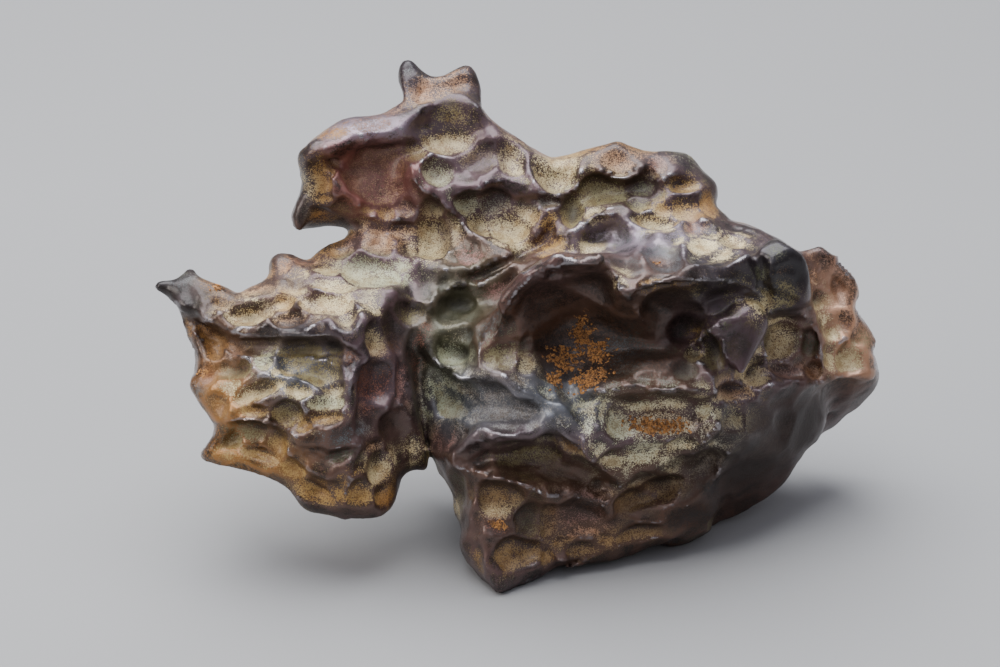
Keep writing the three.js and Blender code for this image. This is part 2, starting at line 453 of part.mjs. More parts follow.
// Height of a few facing planes joined softly, and how steep it is, for each column.
function facing(planes, blend, join) {
  const height = new Float32Array(NU * NV);
  for (let i = 0; i < NU; i += 1) {
    for (let j = 0; j < NV; j += 1) {
      let sum = null;
      for (const [x, y, depth, right, up] of planes) {
        const [u, v] = onSheet(x, y);
        const h = depth + right * (along(0, i) - u) + up * (along(1, j) - v);
        sum = sum === null ? h : join(sum, h, blend);
      }
      height[i * NV + j] = sum;
    }
  }
  return { height, steep: steepness(height, 9) };
}

function steepness(height, most) {
  const steep = new Float32Array(NU * NV);
  for (let i = 0; i < NU; i += 1) {
    for (let j = 0; j < NV; j += 1) {
      const [i0, i1] = [Math.max(i - 1, 0), Math.min(i + 1, NU - 1)];
      const [j0, j1] = [Math.max(j - 1, 0), Math.min(j + 1, NV - 1)];
      const du = (height[i1 * NV + j] - height[i0 * NV + j]) / ((i1 - i0) * CELL);
      const dv = (height[i * NV + j1] - height[i * NV + j0]) / ((j1 - j0) * CELL);
      steep[i * NV + j] = Math.sqrt(1 + Math.min(du * du + dv * dv, most));
    }
  }
  return steep;
}

// Join one mass to the field: its outline given thickness, with rounded edges.
function addMass({ outline, front, back, edge, blend }) {
  const side = outlineDistance(smoothLine(outline, 4, true), edge + 12).map((d) => d - GROW);
  const near = facing(front, 6, softMin);
  const far = facing(back, 6, softMax);
  for (let c = 0; c < NU * NV; c += 1) {
    if (side[c] > edge + 12) continue;
    const d = side[c] + edge;
    for (let k = 0; k < NW; k += 1) {
      const w = along(2, k);
      const a = (w - near.height[c]) / near.steep[c] + edge;
      const b = (far.height[c] - w) / far.steep[c] + edge;
      const round = Math.hypot(Math.max(d, 0), Math.max(a, 0), Math.max(b, 0));
      const value = Math.min(Math.max(d, a, b), 0) + round - edge;
      field[c * NW + k] = softMin(field[c * NW + k], value, blend);
    }
  }
}

// Distance from a point to a straight stretch, and how far along it lies.
function toStretch(p, q, u, v, w) {
  const d = [q[0] - p[0], q[1] - p[1], q[2] - p[2]];
  const length = d[0] * d[0] + d[1] * d[1] + d[2] * d[2] + 1e-9;
  const t = clamp(((u - p[0]) * d[0] + (v - p[1]) * d[1] + (w - p[2]) * d[2]) / length, 0, 1);
  return [Math.hypot(u - p[0] - t * d[0], v - p[1] - t * d[1], w - p[2] - t * d[2]), t];
}

function addSpur([x0, y0, w0, r0, x1, y1, w1, r1]) {
  const p = [...onSheet(x0, y0), w0];
  const q = [...onSheet(x1, y1), w1];
  const centre = p.map((a, s) => (a + q[s]) / 2);
  const reach = p.map((a, s) => Math.abs(a - q[s]) / 2 + Math.max(r0, r1) + 10);
  visit(centre, reach, (at, u, v, w) => {
    const [distance, t] = toStretch(p, q, u, v, w);
    field[at] = softMin(field[at], distance - (r0 + (r1 - r0) * t), 4);
  });
}

// Depth of the skin towards the viewer for each column.
function frontSkin(missing) {
  const skin = new Float32Array(NU * NV).fill(missing);
  for (let c = 0; c < NU * NV; c += 1) {
    for (let k = NW - 2; k >= 0; k -= 1) {
      const [here, above] = [field[c * NW + k], field[c * NW + k + 1]];
      if (here < 0) {
        skin[c] = along(2, k) + CELL * here / (here - above);
        break;
      }
    }
  }
  return skin;
}

// Round the underside off the ground everywhere but at its rests.
function roundUnderside() {
  for (let i = 0; i < NU; i += 1) {
    for (let j = 0; j < NV; j += 1) {
      for (let k = 0; k < NW; k += 1) {
        const [x, y, z] = stand([along(0, i), along(1, j), along(2, k)]);
        if (z > UNDERSIDE_HEIGHT + 12) continue;
        const [beside, t] = toStretch([...REST_LINE[0], 0], [...REST_LINE[1], 0], x, y, 0);
        const heel = Math.hypot(x - REST_HEEL[0], y - REST_HEEL[1]);
        const front = beside ** 2 / UNDERSIDE_ROUND + 1.5 * Math.sin(Math.PI * t) ** 2;
        const lift = softMin(softMin(front, heel ** 2 / UNDERSIDE_ROUND, 2), UNDERSIDE_HEIGHT, 6);
        const at = index(i, j, k);
        field[at] = softMax(field[at], (lift - z) / 1.3, 2);
      }
    }
  }
}

// Low knobs under the piece, which the ground trims to small flat spots.
function addRestKnobs() {
  for (let i = 0; i < NU; i += 1) {
    for (let j = 0; j < NV; j += 1) {
      for (let k = 0; k < NW; k += 1) {
        const [x, y, z] = stand([along(0, i), along(1, j), along(2, k)]);
        if (z > 36) continue;
        const at = index(i, j, k);
        for (const [kx, ky, radius] of REST_KNOBS) {
          const far = Math.hypot(x - kx, y - ky, 0.6 * (z + REST_SINK - radius));
          if (far < radius + 16) field[at] = softMin(field[at], far - radius, 9);
        }
      }
    }
  }
}

// Trim everything back to the outline of the front view.
function trimToOutline() {
  const side = outlineDistance(smoothLine(FRONT_OUTLINE, 2, true), 30);
  for (let c = 0; c < field.length; c += 1) {
    field[c] = softMax(field[c], Math.min(side[Math.floor(c / NW)], 30) - 0.4, 2.5);
  }
}

// Even out a map of heights, a few light passes each way.
function evenOut(height, passes) {
  for (let pass = 0; pass < passes; pass += 1) {
    for (const step of [NV, 1]) {
      const before = height.slice();
      for (let c = step; c < height.length - step; c += 1) {
        height[c] = (before[c - step] + 2 * before[c] + before[c + step]) / 4;
      }
    }
  }
}

// Even out grid marks in the field, one light pass along each direction.
function smoothField() {
  const step = [NV * NW, NW, 1];
  for (let q = 0; q < 3; q += 1) {
    const before = field.slice();
    for (let c = step[q]; c < field.length - step[q]; c += 1) {
      field[c] = (before[c - step[q]] + 2 * before[c] + before[c + step[q]]) / 4;
    }
  }
}

// How much of a cut each column of the grid can take: little where the piece is thin.
function soundness() {
  const share = new Float32Array(NU * NV);
  for (let c = 0; c < NU * NV; c += 1) {
    let thick = 0;
    for (let k = 0; k < NW; k += 1) thick = Math.max(thick, -field[c * NW + k]);
    share[c] = 0.08 + 0.92 * smoothStep(1.5, SOUND_DEPTH, thick);
  }
  return share;
}

// Sink one hollow: the front skin is lowered inside its outline, steepest at the rim.
function sinkHollow({ outline, depth, reach, lean }) {
  const side = outlineDistance(smoothLine(outline, 4, true), 0);
  const middle = [0, 0];
  let cells = 0;
  for (let c = 0; c < NU * NV; c += 1) {
    if (side[c] >= 0) continue;
    middle[0] += along(0, Math.floor(c / NV));
    middle[1] += along(1, c % NV);
    cells += 1;
  }
  const size = Math.sqrt(cells * CELL * CELL / Math.PI);
  const skin = frontSkin(-60);
  const floor = skin.slice();
  for (let c = 0; c < NU * NV; c += 1) {
    const right = (along(0, Math.floor(c / NV)) - middle[0] / cells) / size;
    const up = (along(1, c % NV) - middle[1] / cells) / size;
    const bowl = 1 - (1 - clamp(-side[c] / reach, 0, 1)) ** 2;
    floor[c] -= depth * clamp(1 + lean[0] * right + lean[1] * up, 0.25, 1.8) * bowl;
  }
  evenOut(floor, 2);
  const share = soundness();
  for (let c = 0; c < NU * NV; c += 1) floor[c] = skin[c] + (floor[c] - skin[c]) * share[c];
  const steep = steepness(floor, 8);
  for (let c = 0; c < NU * NV; c += 1) {
    if (side[c] >= 0) continue;
    for (let k = 0; k < NW; k += 1) {
      const above = (along(2, k) - floor[c]) / steep[c];
      field[c * NW + k] = softMax(field[c * NW + k], above, 1.2);
    }
  }
}

// Raise the crests, each one sharp along its line and running out at its ends.
function raiseCrests(crests) {
  const skin = frontSkin(-1000);
  const raised = new Float32Array(field.length);
  for (const [height, reach, text] of crests) {
    const line = smoothLine(text, 3, false).map(([u, v]) => {
      const i = Math.round((u - FIELD_LOW[0]) / CELL);
      const j = Math.round((v - FIELD_LOW[1]) / CELL);
      let w = -1000;
      for (let c = 0; c < 9; c += 1) w = Math.max(w, skin[(i - 1 + c % 3) * NV + j - 1 + Math.floor(c / 3)]);
      return [u, v, w];
    }).filter((p) => p[2] > -500);
    for (let pass = 0; pass < 3; pass += 1) {
      const before = line.map((p) => p[2]);
      for (let s = 1; s < line.length - 1; s += 1) {
        line[s][2] = (before[s - 1] + 2 * before[s] + before[s + 1]) / 4;
      }
    }
    for (let s = 0; s < line.length - 1; s += 1) {
      const [p, q] = [line[s], line[s + 1]];
      const fade = Math.min(1, 0.3 + 0.28 * Math.min(s + 0.5, line.length - 1.5 - s));
      const centre = p.map((a, t) => (a + q[t]) / 2);
      visit(centre, p.map((a, t) => Math.abs(a - q[t]) / 2 + reach), (at, u, v, w) => {
        const [distance] = toStretch(p, q, u, v, w);
        const lift = height * fade * clamp(1 - distance / reach, 0, 1) ** 1.7;
        raised[at] = Math.max(raised[at], lift);
      });
    }
  }
  for (let c = 0; c < field.length; c += 1) field[c] -= raised[c];
}

// First point of the skin met from outside, and which way the skin faces there.
function meetSkin(start, way, length) {
  let last = fieldAt(start);
  for (let s = CELL / 2; s < length; s += CELL / 2) {
    const p = start.map((a, q) => a + way[q] * s);
    const value = fieldAt(p);
    if (value < 0) {
      const back = (CELL / 2) * value / (value - last);
      const hit = p.map((a, q) => a - way[q] * back);
      const slope = [0, 1, 2].map((q) => {
        const [a, b] = [hit.slice(), hit.slice()];
        a[q] += 3;
        b[q] -= 3;
        return fieldAt(a) - fieldAt(b);
      });
      const size = Math.hypot(...slope) || 1;
      return { hit, normal: slope.map((a) => a / size) };
    }
    last = value;
  }
  return null;
}

// Depths to cut. Until a pit reaches it, the skin rises by the height of the rim.
function startPits(rim) {
  return new Float32Array(field.length).fill(-rim);
}

// Scoop one pit around a point of the skin into the depths to cut.
function scoop(cut, { hit, normal }, across, upward, turn, deepest) {
  const depth = Math.min(deepest, PIT_DEPTH * Math.sqrt(across * upward) + 0.3);
  const angle = turn * Math.PI / 180;
  let first = [Math.cos(angle), Math.sin(angle), 0];
  const lean = first[0] * normal[0] + first[1] * normal[1];
  first = first.map((a, q) => a - normal[q] * lean);
  let seen = Math.hypot(...first);
  if (seen < 0.15) {
    first = [0, 1, 0].map((a, q) => a - normal[q] * normal[1]);
    seen = Math.hypot(...first);
  }
  first = first.map((a) => a / seen);
  const second = [
    normal[1] * first[2] - normal[2] * first[1],
    normal[2] * first[0] - normal[0] * first[2],
    normal[0] * first[1] - normal[1] * first[0],
  ];
  const a = across / Math.max(0.6, Math.min(seen, 1));
  const b = upward / Math.max(0.6, Math.hypot(second[0], second[1]));
  const c = Math.max(2.2 * depth, 0.8 * Math.min(a, b));
  const reach = Math.max(a, b, c) * Math.sqrt(1 + RIM / depth);
  visit(hit, [reach, reach, reach], (at, u, v, w) => {
    const [x, y, z] = [u - hit[0], v - hit[1], w - hit[2]];
    const far = ((x * first[0] + y * first[1] + z * first[2]) / a) ** 2
      + ((x * second[0] + y * second[1] + z * second[2]) / b) ** 2
      + ((x * normal[0] + y * normal[1] + z * normal[2]) / c) ** 2;
    cut[at] = Math.max(cut[at], depth * (1 - far));
  });
}

function scoopFrontPits(cut, rows) {
  for (const row of rows.split('|')) {
    const [x, y, across, upward, turn, share] = row.split(' ').map(Number);
    const [a, b] = [across * SQUARE * PIT_WIDER, upward * SQUARE * PIT_WIDER];
    const place = meetSkin([...onSheet(x, y), FIELD_HIGH[2] - CELL], [0, 0, -1], 180);
    const deepest = share * Math.min(DEEPEST_PIT, PIT_DEPTH * Math.sqrt(a * b));
    if (place) scoop(cut, place, a, b, turn, deepest);
  }
}

// Pits on a loose grid over each side that faces away, clear of the drawn front.
function scoopSidePits(cut, sides, random) {
  const skin = frontSkin(-1000);
  for (const { from, spacing, half } of sides) {
    const size = Math.hypot(...from);
    const way = from.map((a) => -a / size);
    const across = Math.abs(from[0]) === 1 ? [0, 0, 1] : [1, 0, 0];
    const upward = Math.abs(from[0]) === 1 || Math.abs(from[1]) < 0.5 ? [0, 1, 0] : [0, 0, 1];
    for (let row = -8; row <= 8; row += 1) {
      for (let column = -8; column <= 8; column += 1) {
        const x = (column + (row % 2) / 2 + 0.5 * (random() - 0.5)) * spacing;
        const y = (row * 0.87 + 0.5 * (random() - 0.5)) * spacing;
        const [a, b] = [half[0] + (half[1] - half[0]) * random(), 0.75 + 0.5 * random()];
        const turn = 180 * random();
        const start = [0, 1, 2].map((q) => across[q] * x + upward[q] * y - way[q] * 190);
        const place = meetSkin(start, way, 380);
        if (!place) continue;
        const facingAway = -(place.normal[0] * way[0] + place.normal[1] * way[1] + place.normal[2] * way[2]);
        const i = Math.round((place.hit[0] - FIELD_LOW[0]) / CELL);
        const j = Math.round((place.hit[1] - FIELD_LOW[1]) / CELL);
        const drawn = skin[i * NV + j] - place.hit[2] < 0.5 * a;
        const [gx, gy, gz] = stand(place.hit);
        const [beside] = toStretch([...REST_LINE[0], 0], [...REST_LINE[1], 0], gx, gy, 0);
        const resting = gz < 40 && beside < a + 5;
        if (facingAway < 0.55 || drawn || resting) continue;
        scoop(cut, place, a * b ** 0.5, a / b ** 0.5, turn, DEEPEST_SIDE_PIT);
      }
    }
  }
}

// Cut the pits that have been scooped, less deeply where the piece is thin.
function cutPits(cut, most) {
  const share = soundness();
  for (let c = 0; c < field.length; c += 1) {
    field[c] += cut[c] > 0 ? cut[c] * most * share[Math.floor(c / NW)] : cut[c];
  }
}

function cutAllPits() {
  const random = randomFrom(SEED);
  const hollows = startPits(0);
  scoopSidePits(hollows, SIDE_HOLLOWS, random);
  cutPits(hollows, 1);
  const { details, ...groups } = PITS;
  const pits = startPits(RIM);
  for (const rows of Object.values(groups)) scoopFrontPits(pits, rows);
  scoopSidePits(pits, SIDE_PITS, random);
  cutPits(pits, 1);
  LATE_MASSES.forEach(addMass);
  SPURS.forEach(addSpur);
  const last = startPits(0);
  scoopFrontPits(last, details);
  cutPits(last, 0.8);
}

// ---------------------------------------------------------------- skin as triangles

// Each grid cell is split into six tetrahedra that share its long diagonal.
const TETRAHEDRA = [[1, 2], [1, 4], [2, 1], [2, 4], [4, 1], [4, 2]].map(([a, b]) => [0, a, a | b, 7]);

function takeSkin() {
  const vertices = [];
  const triangles = [];
  const known = new Map();
  const corner = (i, j, k, c) => [i + (c & 1), j + ((c >> 1) & 1), k + ((c >> 2) & 1)];
  const vertexOn = (cell, a, b) => {
    const [low, high] = a < b ? [a, b] : [b, a];
    const p = corner(...cell, low);
    const q = corner(...cell, high);
    const key = index(...p) * 8 + (high - low);
    if (known.has(key)) return known.get(key);
    const [fp, fq] = [field[index(...p)], field[index(...q)]];
    const t = clamp(fp / (fp - fq), 0.02, 0.98);
    vertices.push([0, 1, 2].map((s) => along(s, p[s] + t * (q[s] - p[s]))));
    known.set(key, vertices.length - 1);
    return vertices.length - 1;
  };
  const face = (cell, a, b, c, inside, outside) => {
    const [p, q, r] = [vertices[a], vertices[b], vertices[c]];
    const e = q.map((x, s) => x - p[s]);
    const f = r.map((x, s) => x - p[s]);
    const n = [e[1] * f[2] - e[2] * f[1], e[2] * f[0] - e[0] * f[2], e[0] * f[1] - e[1] * f[0]];
    const from = corner(...cell, inside);
    const to = corner(...cell, outside);
    const out = n[0] * (to[0] - from[0]) + n[1] * (to[1] - from[1]) + n[2] * (to[2] - from[2]);
    triangles.push(out > 0 ? [a, b, c] : [a, c, b]);
  };
  for (let i = 0; i < NU - 1; i += 1) {
    for (let j = 0; j < NV - 1; j += 1) {
      for (let k = 0; k < NW - 1; k += 1) {
        let full = 0;
        for (let c = 0; c < 8; c += 1) full += field[index(...corner(i, j, k, c))] < 0 ? 1 : 0;
        if (full === 0 || full === 8) continue;
        const cell = [i, j, k];
        for (const tetrahedron of TETRAHEDRA) {
          const inside = tetrahedron.filter((c) => field[index(...corner(i, j, k, c))] < 0);
          const outside = tetrahedron.filter((c) => !inside.includes(c));
          if (inside.length === 1 || outside.length === 1) {
            const lone = inside.length === 1 ? inside[0] : outside[0];
            const rest = inside.length === 1 ? outside : inside;
            const [a, b, c] = rest.map((other) => vertexOn(cell, lone, other));
            face(cell, a, b, c, inside[0], outside[0]);
          } else if (inside.length === 2) {
            const a = vertexOn(cell, inside[0], outside[0]);
            const b = vertexOn(cell, inside[0], outside[1]);
            const c = vertexOn(cell, inside[1], outside[1]);
            const d = vertexOn(cell, inside[1], outside[0]);
            face(cell, a, b, c, inside[0], outside[0]);
            face(cell, a, c, d, inside[0], outside[0]);
          }
        }
      }
    }
  }
  return { vertices, triangles };
}

// Keep only the largest connected body of the skin.
function largestBody({ vertices, triangles }) {
  const parent = vertices.map((_, v) => v);
  const root = (v) => {
    let r = v;
    while (parent[r] !== r) r = parent[r];
    while (parent[v] !== r) [parent[v], v] = [r, parent[v]];
    return r;
  };
  for (const [a, b, c] of triangles) {
    parent[root(a)] = root(b);
    parent[root(b)] = root(c);
  }
  const size = new Map();
  for (const [a] of triangles) size.set(root(a), (size.get(root(a)) || 0) + 1);
  const largest = [...size.entries()].sort((x, y) => y[1] - x[1])[0][0];
  return { vertices, triangles: triangles.filter(([a]) => root(a) === largest) };
}

// From the drawing to the standing piece: the view is tilted back and its perspective
// taken out, so parts that were drawn larger because they are near get their true size.
function stand([u, v, w]) {
  const tilt = LOOK_DOWN * Math.PI / 180;
  const scale = (VIEW_DISTANCE - w) / VIEW_DISTANCE;
  return [
    scale * u,
    scale * v * Math.sin(tilt) - w * Math.cos(tilt),
    scale * v * Math.cos(tilt) + w * Math.sin(tilt) + MIDDLE_HEIGHT,
  ];
}

// ---------------------------------------------------------------- thinning the skin

// Ten sums that give the squared distance to all the planes around a vertex.
function planeSums([nx, ny, nz], d, weight) {
  return [nx * nx, nx * ny, nx * nz, nx * d, ny * ny, ny * nz, ny * d, nz * nz, nz * d, d * d]
    .map((x) => x * weight);
}

function distanceSum(q, [x, y, z]) {
  return q[0] * x * x + 2 * q[1] * x * y + 2 * q[2] * x * z + 2 * q[3] * x
    + q[4] * y * y + 2 * q[5] * y * z + 2 * q[6] * y + q[7] * z * z + 2 * q[8] * z + q[9];
}

// The point nearest to all the planes, or nothing where they don't settle on one.
function bestPoint(q) {
  const [a, b, c, d, e, f, g, h, i] = q;
  const det = a * (e * h - f * f) - b * (b * h - f * c) + c * (b * f - e * c);
  const size = (a + e + h) / 3;
  if (Math.abs(det) < 1e-3 * size * size * size) return null;
  return [
    -(d * (e * h - f * f) - b * (g * h - f * i) + c * (g * f - e * i)) / det,
    -(a * (g * h - i * f) - d * (b * h - f * c) + c * (b * i - g * c)) / det,
    -(a * (e * i - g * f) - b * (b * i - g * c) + d * (b * f - e * c)) / det,
  ];
}

function faceNormal(p, q, r) {
  const [ex, ey, ez] = [q[0] - p[0], q[1] - p[1], q[2] - p[2]];
  const [fx, fy, fz] = [r[0] - p[0], r[1] - p[1], r[2] - p[2]];
  return [ey * fz - ez * fy, ez * fx - ex * fz, ex * fy - ey * fx];
}

// One for an even triangle, nothing for a sliver.
function thinness([p, q, r]) {
  const longest = Math.max(...[[p, q], [q, r], [r, p]]
    .map(([a, b]) => (a[0] - b[0]) ** 2 + (a[1] - b[1]) ** 2 + (a[2] - b[2]) ** 2));
  return 1.15 * Math.hypot(...faceNormal(p, q, r)) / (longest + 1e-12);
}

// A queue that always hands back the cheapest entry.
class Queue {
  constructor() {
    this.items = [];
  }

  push(item) {
    const { items } = this;
    let i = items.push(item) - 1;
    while (i > 0) {
      const up = (i - 1) >> 1;
      if (items[up].cost <= items[i].cost) break;
      [items[up], items[i]] = [items[i], items[up]];
      i = up;
    }
  }

  pop() {
    const { items } = this;
    const top = items[0];
    const last = items.pop();
    if (items.length === 0) return top;
    items[0] = last;
    let i = 0;
    for (;;) {
      let least = i;
      for (const child of [2 * i + 1, 2 * i + 2]) {
        if (child < items.length && items[child].cost < items[least].cost) least = child;
      }
      if (least === i) return top;
      [items[least], items[i]] = [items[i], items[least]];
      i = least;
    }
  }
}

// Collapse the edges that matter least until few enough triangles are left.
function thin({ vertices, triangles }, target) {
  const spot = vertices.map((p) => p.slice());
  const faces = triangles.map((t) => t.slice());
  const around = spot.map(() => new Set());
  const sums = spot.map(() => new Array(10).fill(0));
  const stamp = new Int32Array(spot.length);
  faces.forEach((t, f) => {
    const n = faceNormal(...t.map((v) => spot[v]));
    const size = Math.hypot(...n) || 1e-9;
    const unit = n.map((x) => x / size);
    const d = -(unit[0] * spot[t[0]][0] + unit[1] * spot[t[0]][1] + unit[2] * spot[t[0]][2]);
    const own = planeSums(unit, d, size);
    for (const v of t) {
      around[v].add(f);
      for (let s = 0; s < 10; s += 1) sums[v][s] += own[s];
    }
  });
  const neighbours = (v) => {
    const set = new Set();
    for (const f of around[v]) for (const w of faces[f]) if (w !== v) set.add(w);
    return set;
  };
  const queue = new Queue();
  const offer = (a, b) => {
    const q = sums[a].map((x, s) => x + sums[b][s]);
    const middle = spot[a].map((x, s) => (x + spot[b][s]) / 2);
    const length = Math.hypot(...spot[a].map((x, s) => x - spot[b][s]));
    let point = bestPoint(q);
    if (!point || Math.hypot(...point.map((x, s) => x - middle[s])) > 1.5 * length) {
      point = [middle, spot[a], spot[b]].sort((x, y) => distanceSum(q, x) - distanceSum(q, y))[0];
    }
    const cost = distanceSum(q, point) + 0.002 * length ** 3;
    queue.push({ cost, a, b, point, q, stamps: [stamp[a], stamp[b]] });
  };
  let left = faces.length;
  let offered = Infinity;
  while (left > target) {
    if (queue.items.length === 0) {
      if (left >= offered) break;
      offered = left;
      for (let a = 0; a < spot.length; a += 1) {
        for (const b of neighbours(a)) if (a < b) offer(a, b);
      }
    }
    const { a, b, point, q, stamps } = queue.pop();
    if (stamps[0] !== stamp[a] || stamps[1] !== stamp[b]) continue;
    const [na, nb] = [neighbours(a), neighbours(b)];
    let shared = 0;
    for (const v of na) if (nb.has(v)) shared += 1;
    if (shared !== 2 || na.size + nb.size - 4 < 4) continue;
    const spoils = [a, b].some((v) => [...around[v]].some((f) => {
      if (faces[f].includes(a) && faces[f].includes(b)) return false;
      const before = faces[f].map((w) => spot[w]);
      const after = faces[f].map((w) => (w === v ? point : spot[w]));
      const [m, n] = [faceNormal(...before), faceNormal(...after)];
      const dot = m[0] * n[0] + m[1] * n[1] + m[2] * n[2];
      const turned = dot < 0.2 * Math.hypot(...m) * Math.hypot(...n);
      return turned || (thinness(after) < 0.06 && thinness(after) < thinness(before));
    }));
    if (spoils) continue;
    for (const f of [...around[b]]) {
      if (faces[f].includes(a)) {
        for (const v of faces[f]) around[v].delete(f);
        faces[f] = null;
        left -= 1;
      } else {
        faces[f] = faces[f].map((v) => (v === b ? a : v));
        around[a].add(f);
      }
    }
    around[b].clear();
    spot[a] = point;
    sums[a] = q;
    stamp[a] += 1;
    stamp[b] += 1;
    for (const v of neighbours(a)) offer(Math.min(a, v), Math.max(a, v));
  }
  return { vertices: spot, triangles: faces.filter((t) => t !== null) };
}

// ---------------------------------------------------------------- closed solid

const wasm = await Module();
wasm.setup();

function asSolid({ vertices, triangles }) {
  const used = new Map();
  const triVerts = [];
  for (const t of triangles) {
    for (const v of t) {
      if (!used.has(v)) used.set(v, used.size);
      triVerts.push(used.get(v));
    }
  }
  const vertProperties = new Float32Array([...used.keys()].flatMap((v) => vertices[v]));
  return new wasm.Manifold(new wasm.Mesh({ numProp: 3, vertProperties, triVerts: new Uint32Array(triVerts) }));
}

function groundBlock() {
  const box = new THREE.BoxGeometry(600, 600, 100).toNonIndexed();
  box.translate(0, 0, -50);
  const p = box.attributes.position;
  const corners = new Map();
  const vertices = [];
  const triangles = [];
  for (let i = 0; i < p.count; i += 3) {
    triangles.push([0, 1, 2].map((c) => {
      const v = [p.getX(i + c), p.getY(i + c), p.getZ(i + c)];
      const key = v.join();
      if (!corners.has(key)) {
        corners.set(key, vertices.length);
        vertices.push(v);
      }
      return corners.get(key);
    }));
  }
  return asSolid({ vertices, triangles });
}

function meteoriteGeometry() {
  MASSES.forEach(addMass);
  HOLLOWS.forEach(sinkHollow);
  raiseCrests(CRESTS);
  cutAllPits();
  roundUnderside();
  addRestKnobs();
  trimToOutline();
  smoothField();
  const skin = largestBody(takeSkin());
  skin.vertices = skin.vertices.map(stand);
  const solid = asSolid(thin(skin, TRIANGLES)).subtract(groundBlock());
  if (solid.status() !== 'NoError') throw new Error(`the skin is not a closed solid: ${solid.status()}`);
  const mesh = solid.getMesh();
  const geometry = new THREE.BufferGeometry();
  geometry.setAttribute('position', new THREE.BufferAttribute(Float32Array.from(mesh.vertProperties), 3));
  geometry.setIndex(Array.from(mesh.triVerts));
  geometry.computeBoundingBox();
  const { min, max } = geometry.boundingBox;
  geometry.translate(-(min.x + max.x) / 2, -(min.y + max.y) / 2, -min.z);
  geometry.computeVertexNormals();
  return geometry;
}

const iron = new THREE.MeshStandardMaterial({
  color: '#5b4a43',
  roughness: 0.36,
  metalness: 0.75,
  flatShading: true,
});

const meteorite = new THREE.Mesh(meteoriteGeometry(), iron);
meteorite.name = 'meteorite';

const part = new THREE.Group();
part.name = 'polished meteorite';
part.add(meteorite);

export default part;
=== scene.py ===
"""Polished iron meteorite: the finished look of one solid piece of pitted iron.

The iron is sculpted as a solid field on a grid, in the same way as the solid it
replaces but finer, and its skin is taken off as a mesh of small quads. Each vertex
then gets numbers that say how the iron has aged there and where shade is painted
onto it, and the finish reads them.

All sizes below are millimetres on the drawing sheet unless they say otherwise. The
finished meshes are in metres.
"""

import math

import bmesh
import bpy
import numpy as np
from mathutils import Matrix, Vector


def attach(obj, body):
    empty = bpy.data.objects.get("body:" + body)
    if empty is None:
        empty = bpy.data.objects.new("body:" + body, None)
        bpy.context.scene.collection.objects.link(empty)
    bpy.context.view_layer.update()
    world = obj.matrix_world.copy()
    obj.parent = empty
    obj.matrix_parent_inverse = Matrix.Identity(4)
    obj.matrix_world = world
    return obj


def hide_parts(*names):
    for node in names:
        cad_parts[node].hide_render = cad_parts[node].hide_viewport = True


bl_info = {
    "name": "Polished meteorite",
    "version": (1, 0, 0),
    "blender": (4, 5, 0),
    "location": "3D View > Sidebar > Meteorite",
    "description": "Sculpts and finishes one pitted iron meteorite and its studio",
    "category": "Object",
}

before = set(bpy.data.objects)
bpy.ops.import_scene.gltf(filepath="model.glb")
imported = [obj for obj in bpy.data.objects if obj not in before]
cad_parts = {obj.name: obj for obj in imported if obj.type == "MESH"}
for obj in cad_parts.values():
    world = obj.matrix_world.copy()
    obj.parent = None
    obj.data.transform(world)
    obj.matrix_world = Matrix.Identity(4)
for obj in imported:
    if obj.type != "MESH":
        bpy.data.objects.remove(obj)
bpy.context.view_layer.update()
SOLID = "meteorite"
MM = 0.001

# ---------------------------------------------------------------- the drawing sheet

SQUARE = 0.4                     # side of one square of the drawing sheet
SHEET_MIDDLE = (500, 333)        # sheet square that lies over the middle of the piece
SHEET_WIDTH = 1000               # squares across the whole sheet
LOOK_DOWN = math.radians(25.5)   # the front view is drawn from this far above
VIEW_DISTANCE = 1111             # near parts are drawn larger, as seen from here
MIDDLE_HEIGHT = 82.4             # height of the sheet's middle above the ground
SHEET_SHIFT = (-11.72, 1.52)     # from the sheet's middle to the middle of the box, from above
FLOOR_RADIUS = 6                 # in metres
FLOOR_SIDES = 96
CRUMB_TURN = 6.28                # the crumbs are turned up to this far, in radians

# ---------------------------------------------------------------- sculpting sizes

FIELD_LOW = (-152, -116, -104)
FIELD_HIGH = (164, 122, 88)
FAR_OUTSIDE = 50                 # what the field holds where there is no iron near
MISSING = -1000                  # depth of a column that has no iron in it
REST_LINE = ((-1, -59), (82, -21))   # where the front foot meets the ground, from above
REST_HEEL = (8, 40)              # where the hidden heel meets the ground
REST_KNOBS = ((0, -51, 9), (72, -21, 9), (4, 36, 10))   # x, y and radius
REST_SINK = 1.6                  # how far the knobs would go below the ground
UNDERSIDE_ROUND = 110            # radius of the underside beside its rests
UNDERSIDE_HEIGHT = 17            # how high the underside gets between its rests
MASS_MARGIN = 12                 # how far past its edge a mass can blend with the others
PLANE_BLEND = 6                  # how softly the facing planes of a mass join
OUTLINE_SLACK = 0.4              # how far the skin may pass the drawn outline
OUTLINE_ROUND = 2.5              # roundness of the trim along the outline
PIT_DEPTH = 0.78                 # pit depth for each millimetre of mean half width
DEEPEST_PIT = 8
DEEPEST_SIDE_PIT = 9
PIT_SHARE = 0.9                  # the usual share of that depth in the drawn pits
PIT_WIDER = 1.34                 # a pit against the patch of patina drawn in it
SOUND_DEPTH = 11                 # pits are shallower where the piece is thinner than twice this
RIM = 0.8                        # how far the skin rises between pits that stay apart
CREST_SHARPNESS = 1.2
SHRINK = 0.4                     # how much smaller the masses are than they are drawn
UNEVENNESS = ((14, 2.0, 1), (6, 0.6, 5), (2.6, 0.25, 9))   # size, height and seed of each layer
UP_REACH = 7                     # how far around a spot its surroundings reach up and down
GROUND_SNAP = 0.3                # what is lower than this above the ground lies flat on it
SEED = 77                        # of the pits over the sides
FILL_SEED = 12                   # of the chance pits between the drawn ones
COLOUR_SEED = 78                 # of the colours of the side pits
FILL_PITS = (5.0, 10.0)          # half widths of the chance pits between the drawn ones

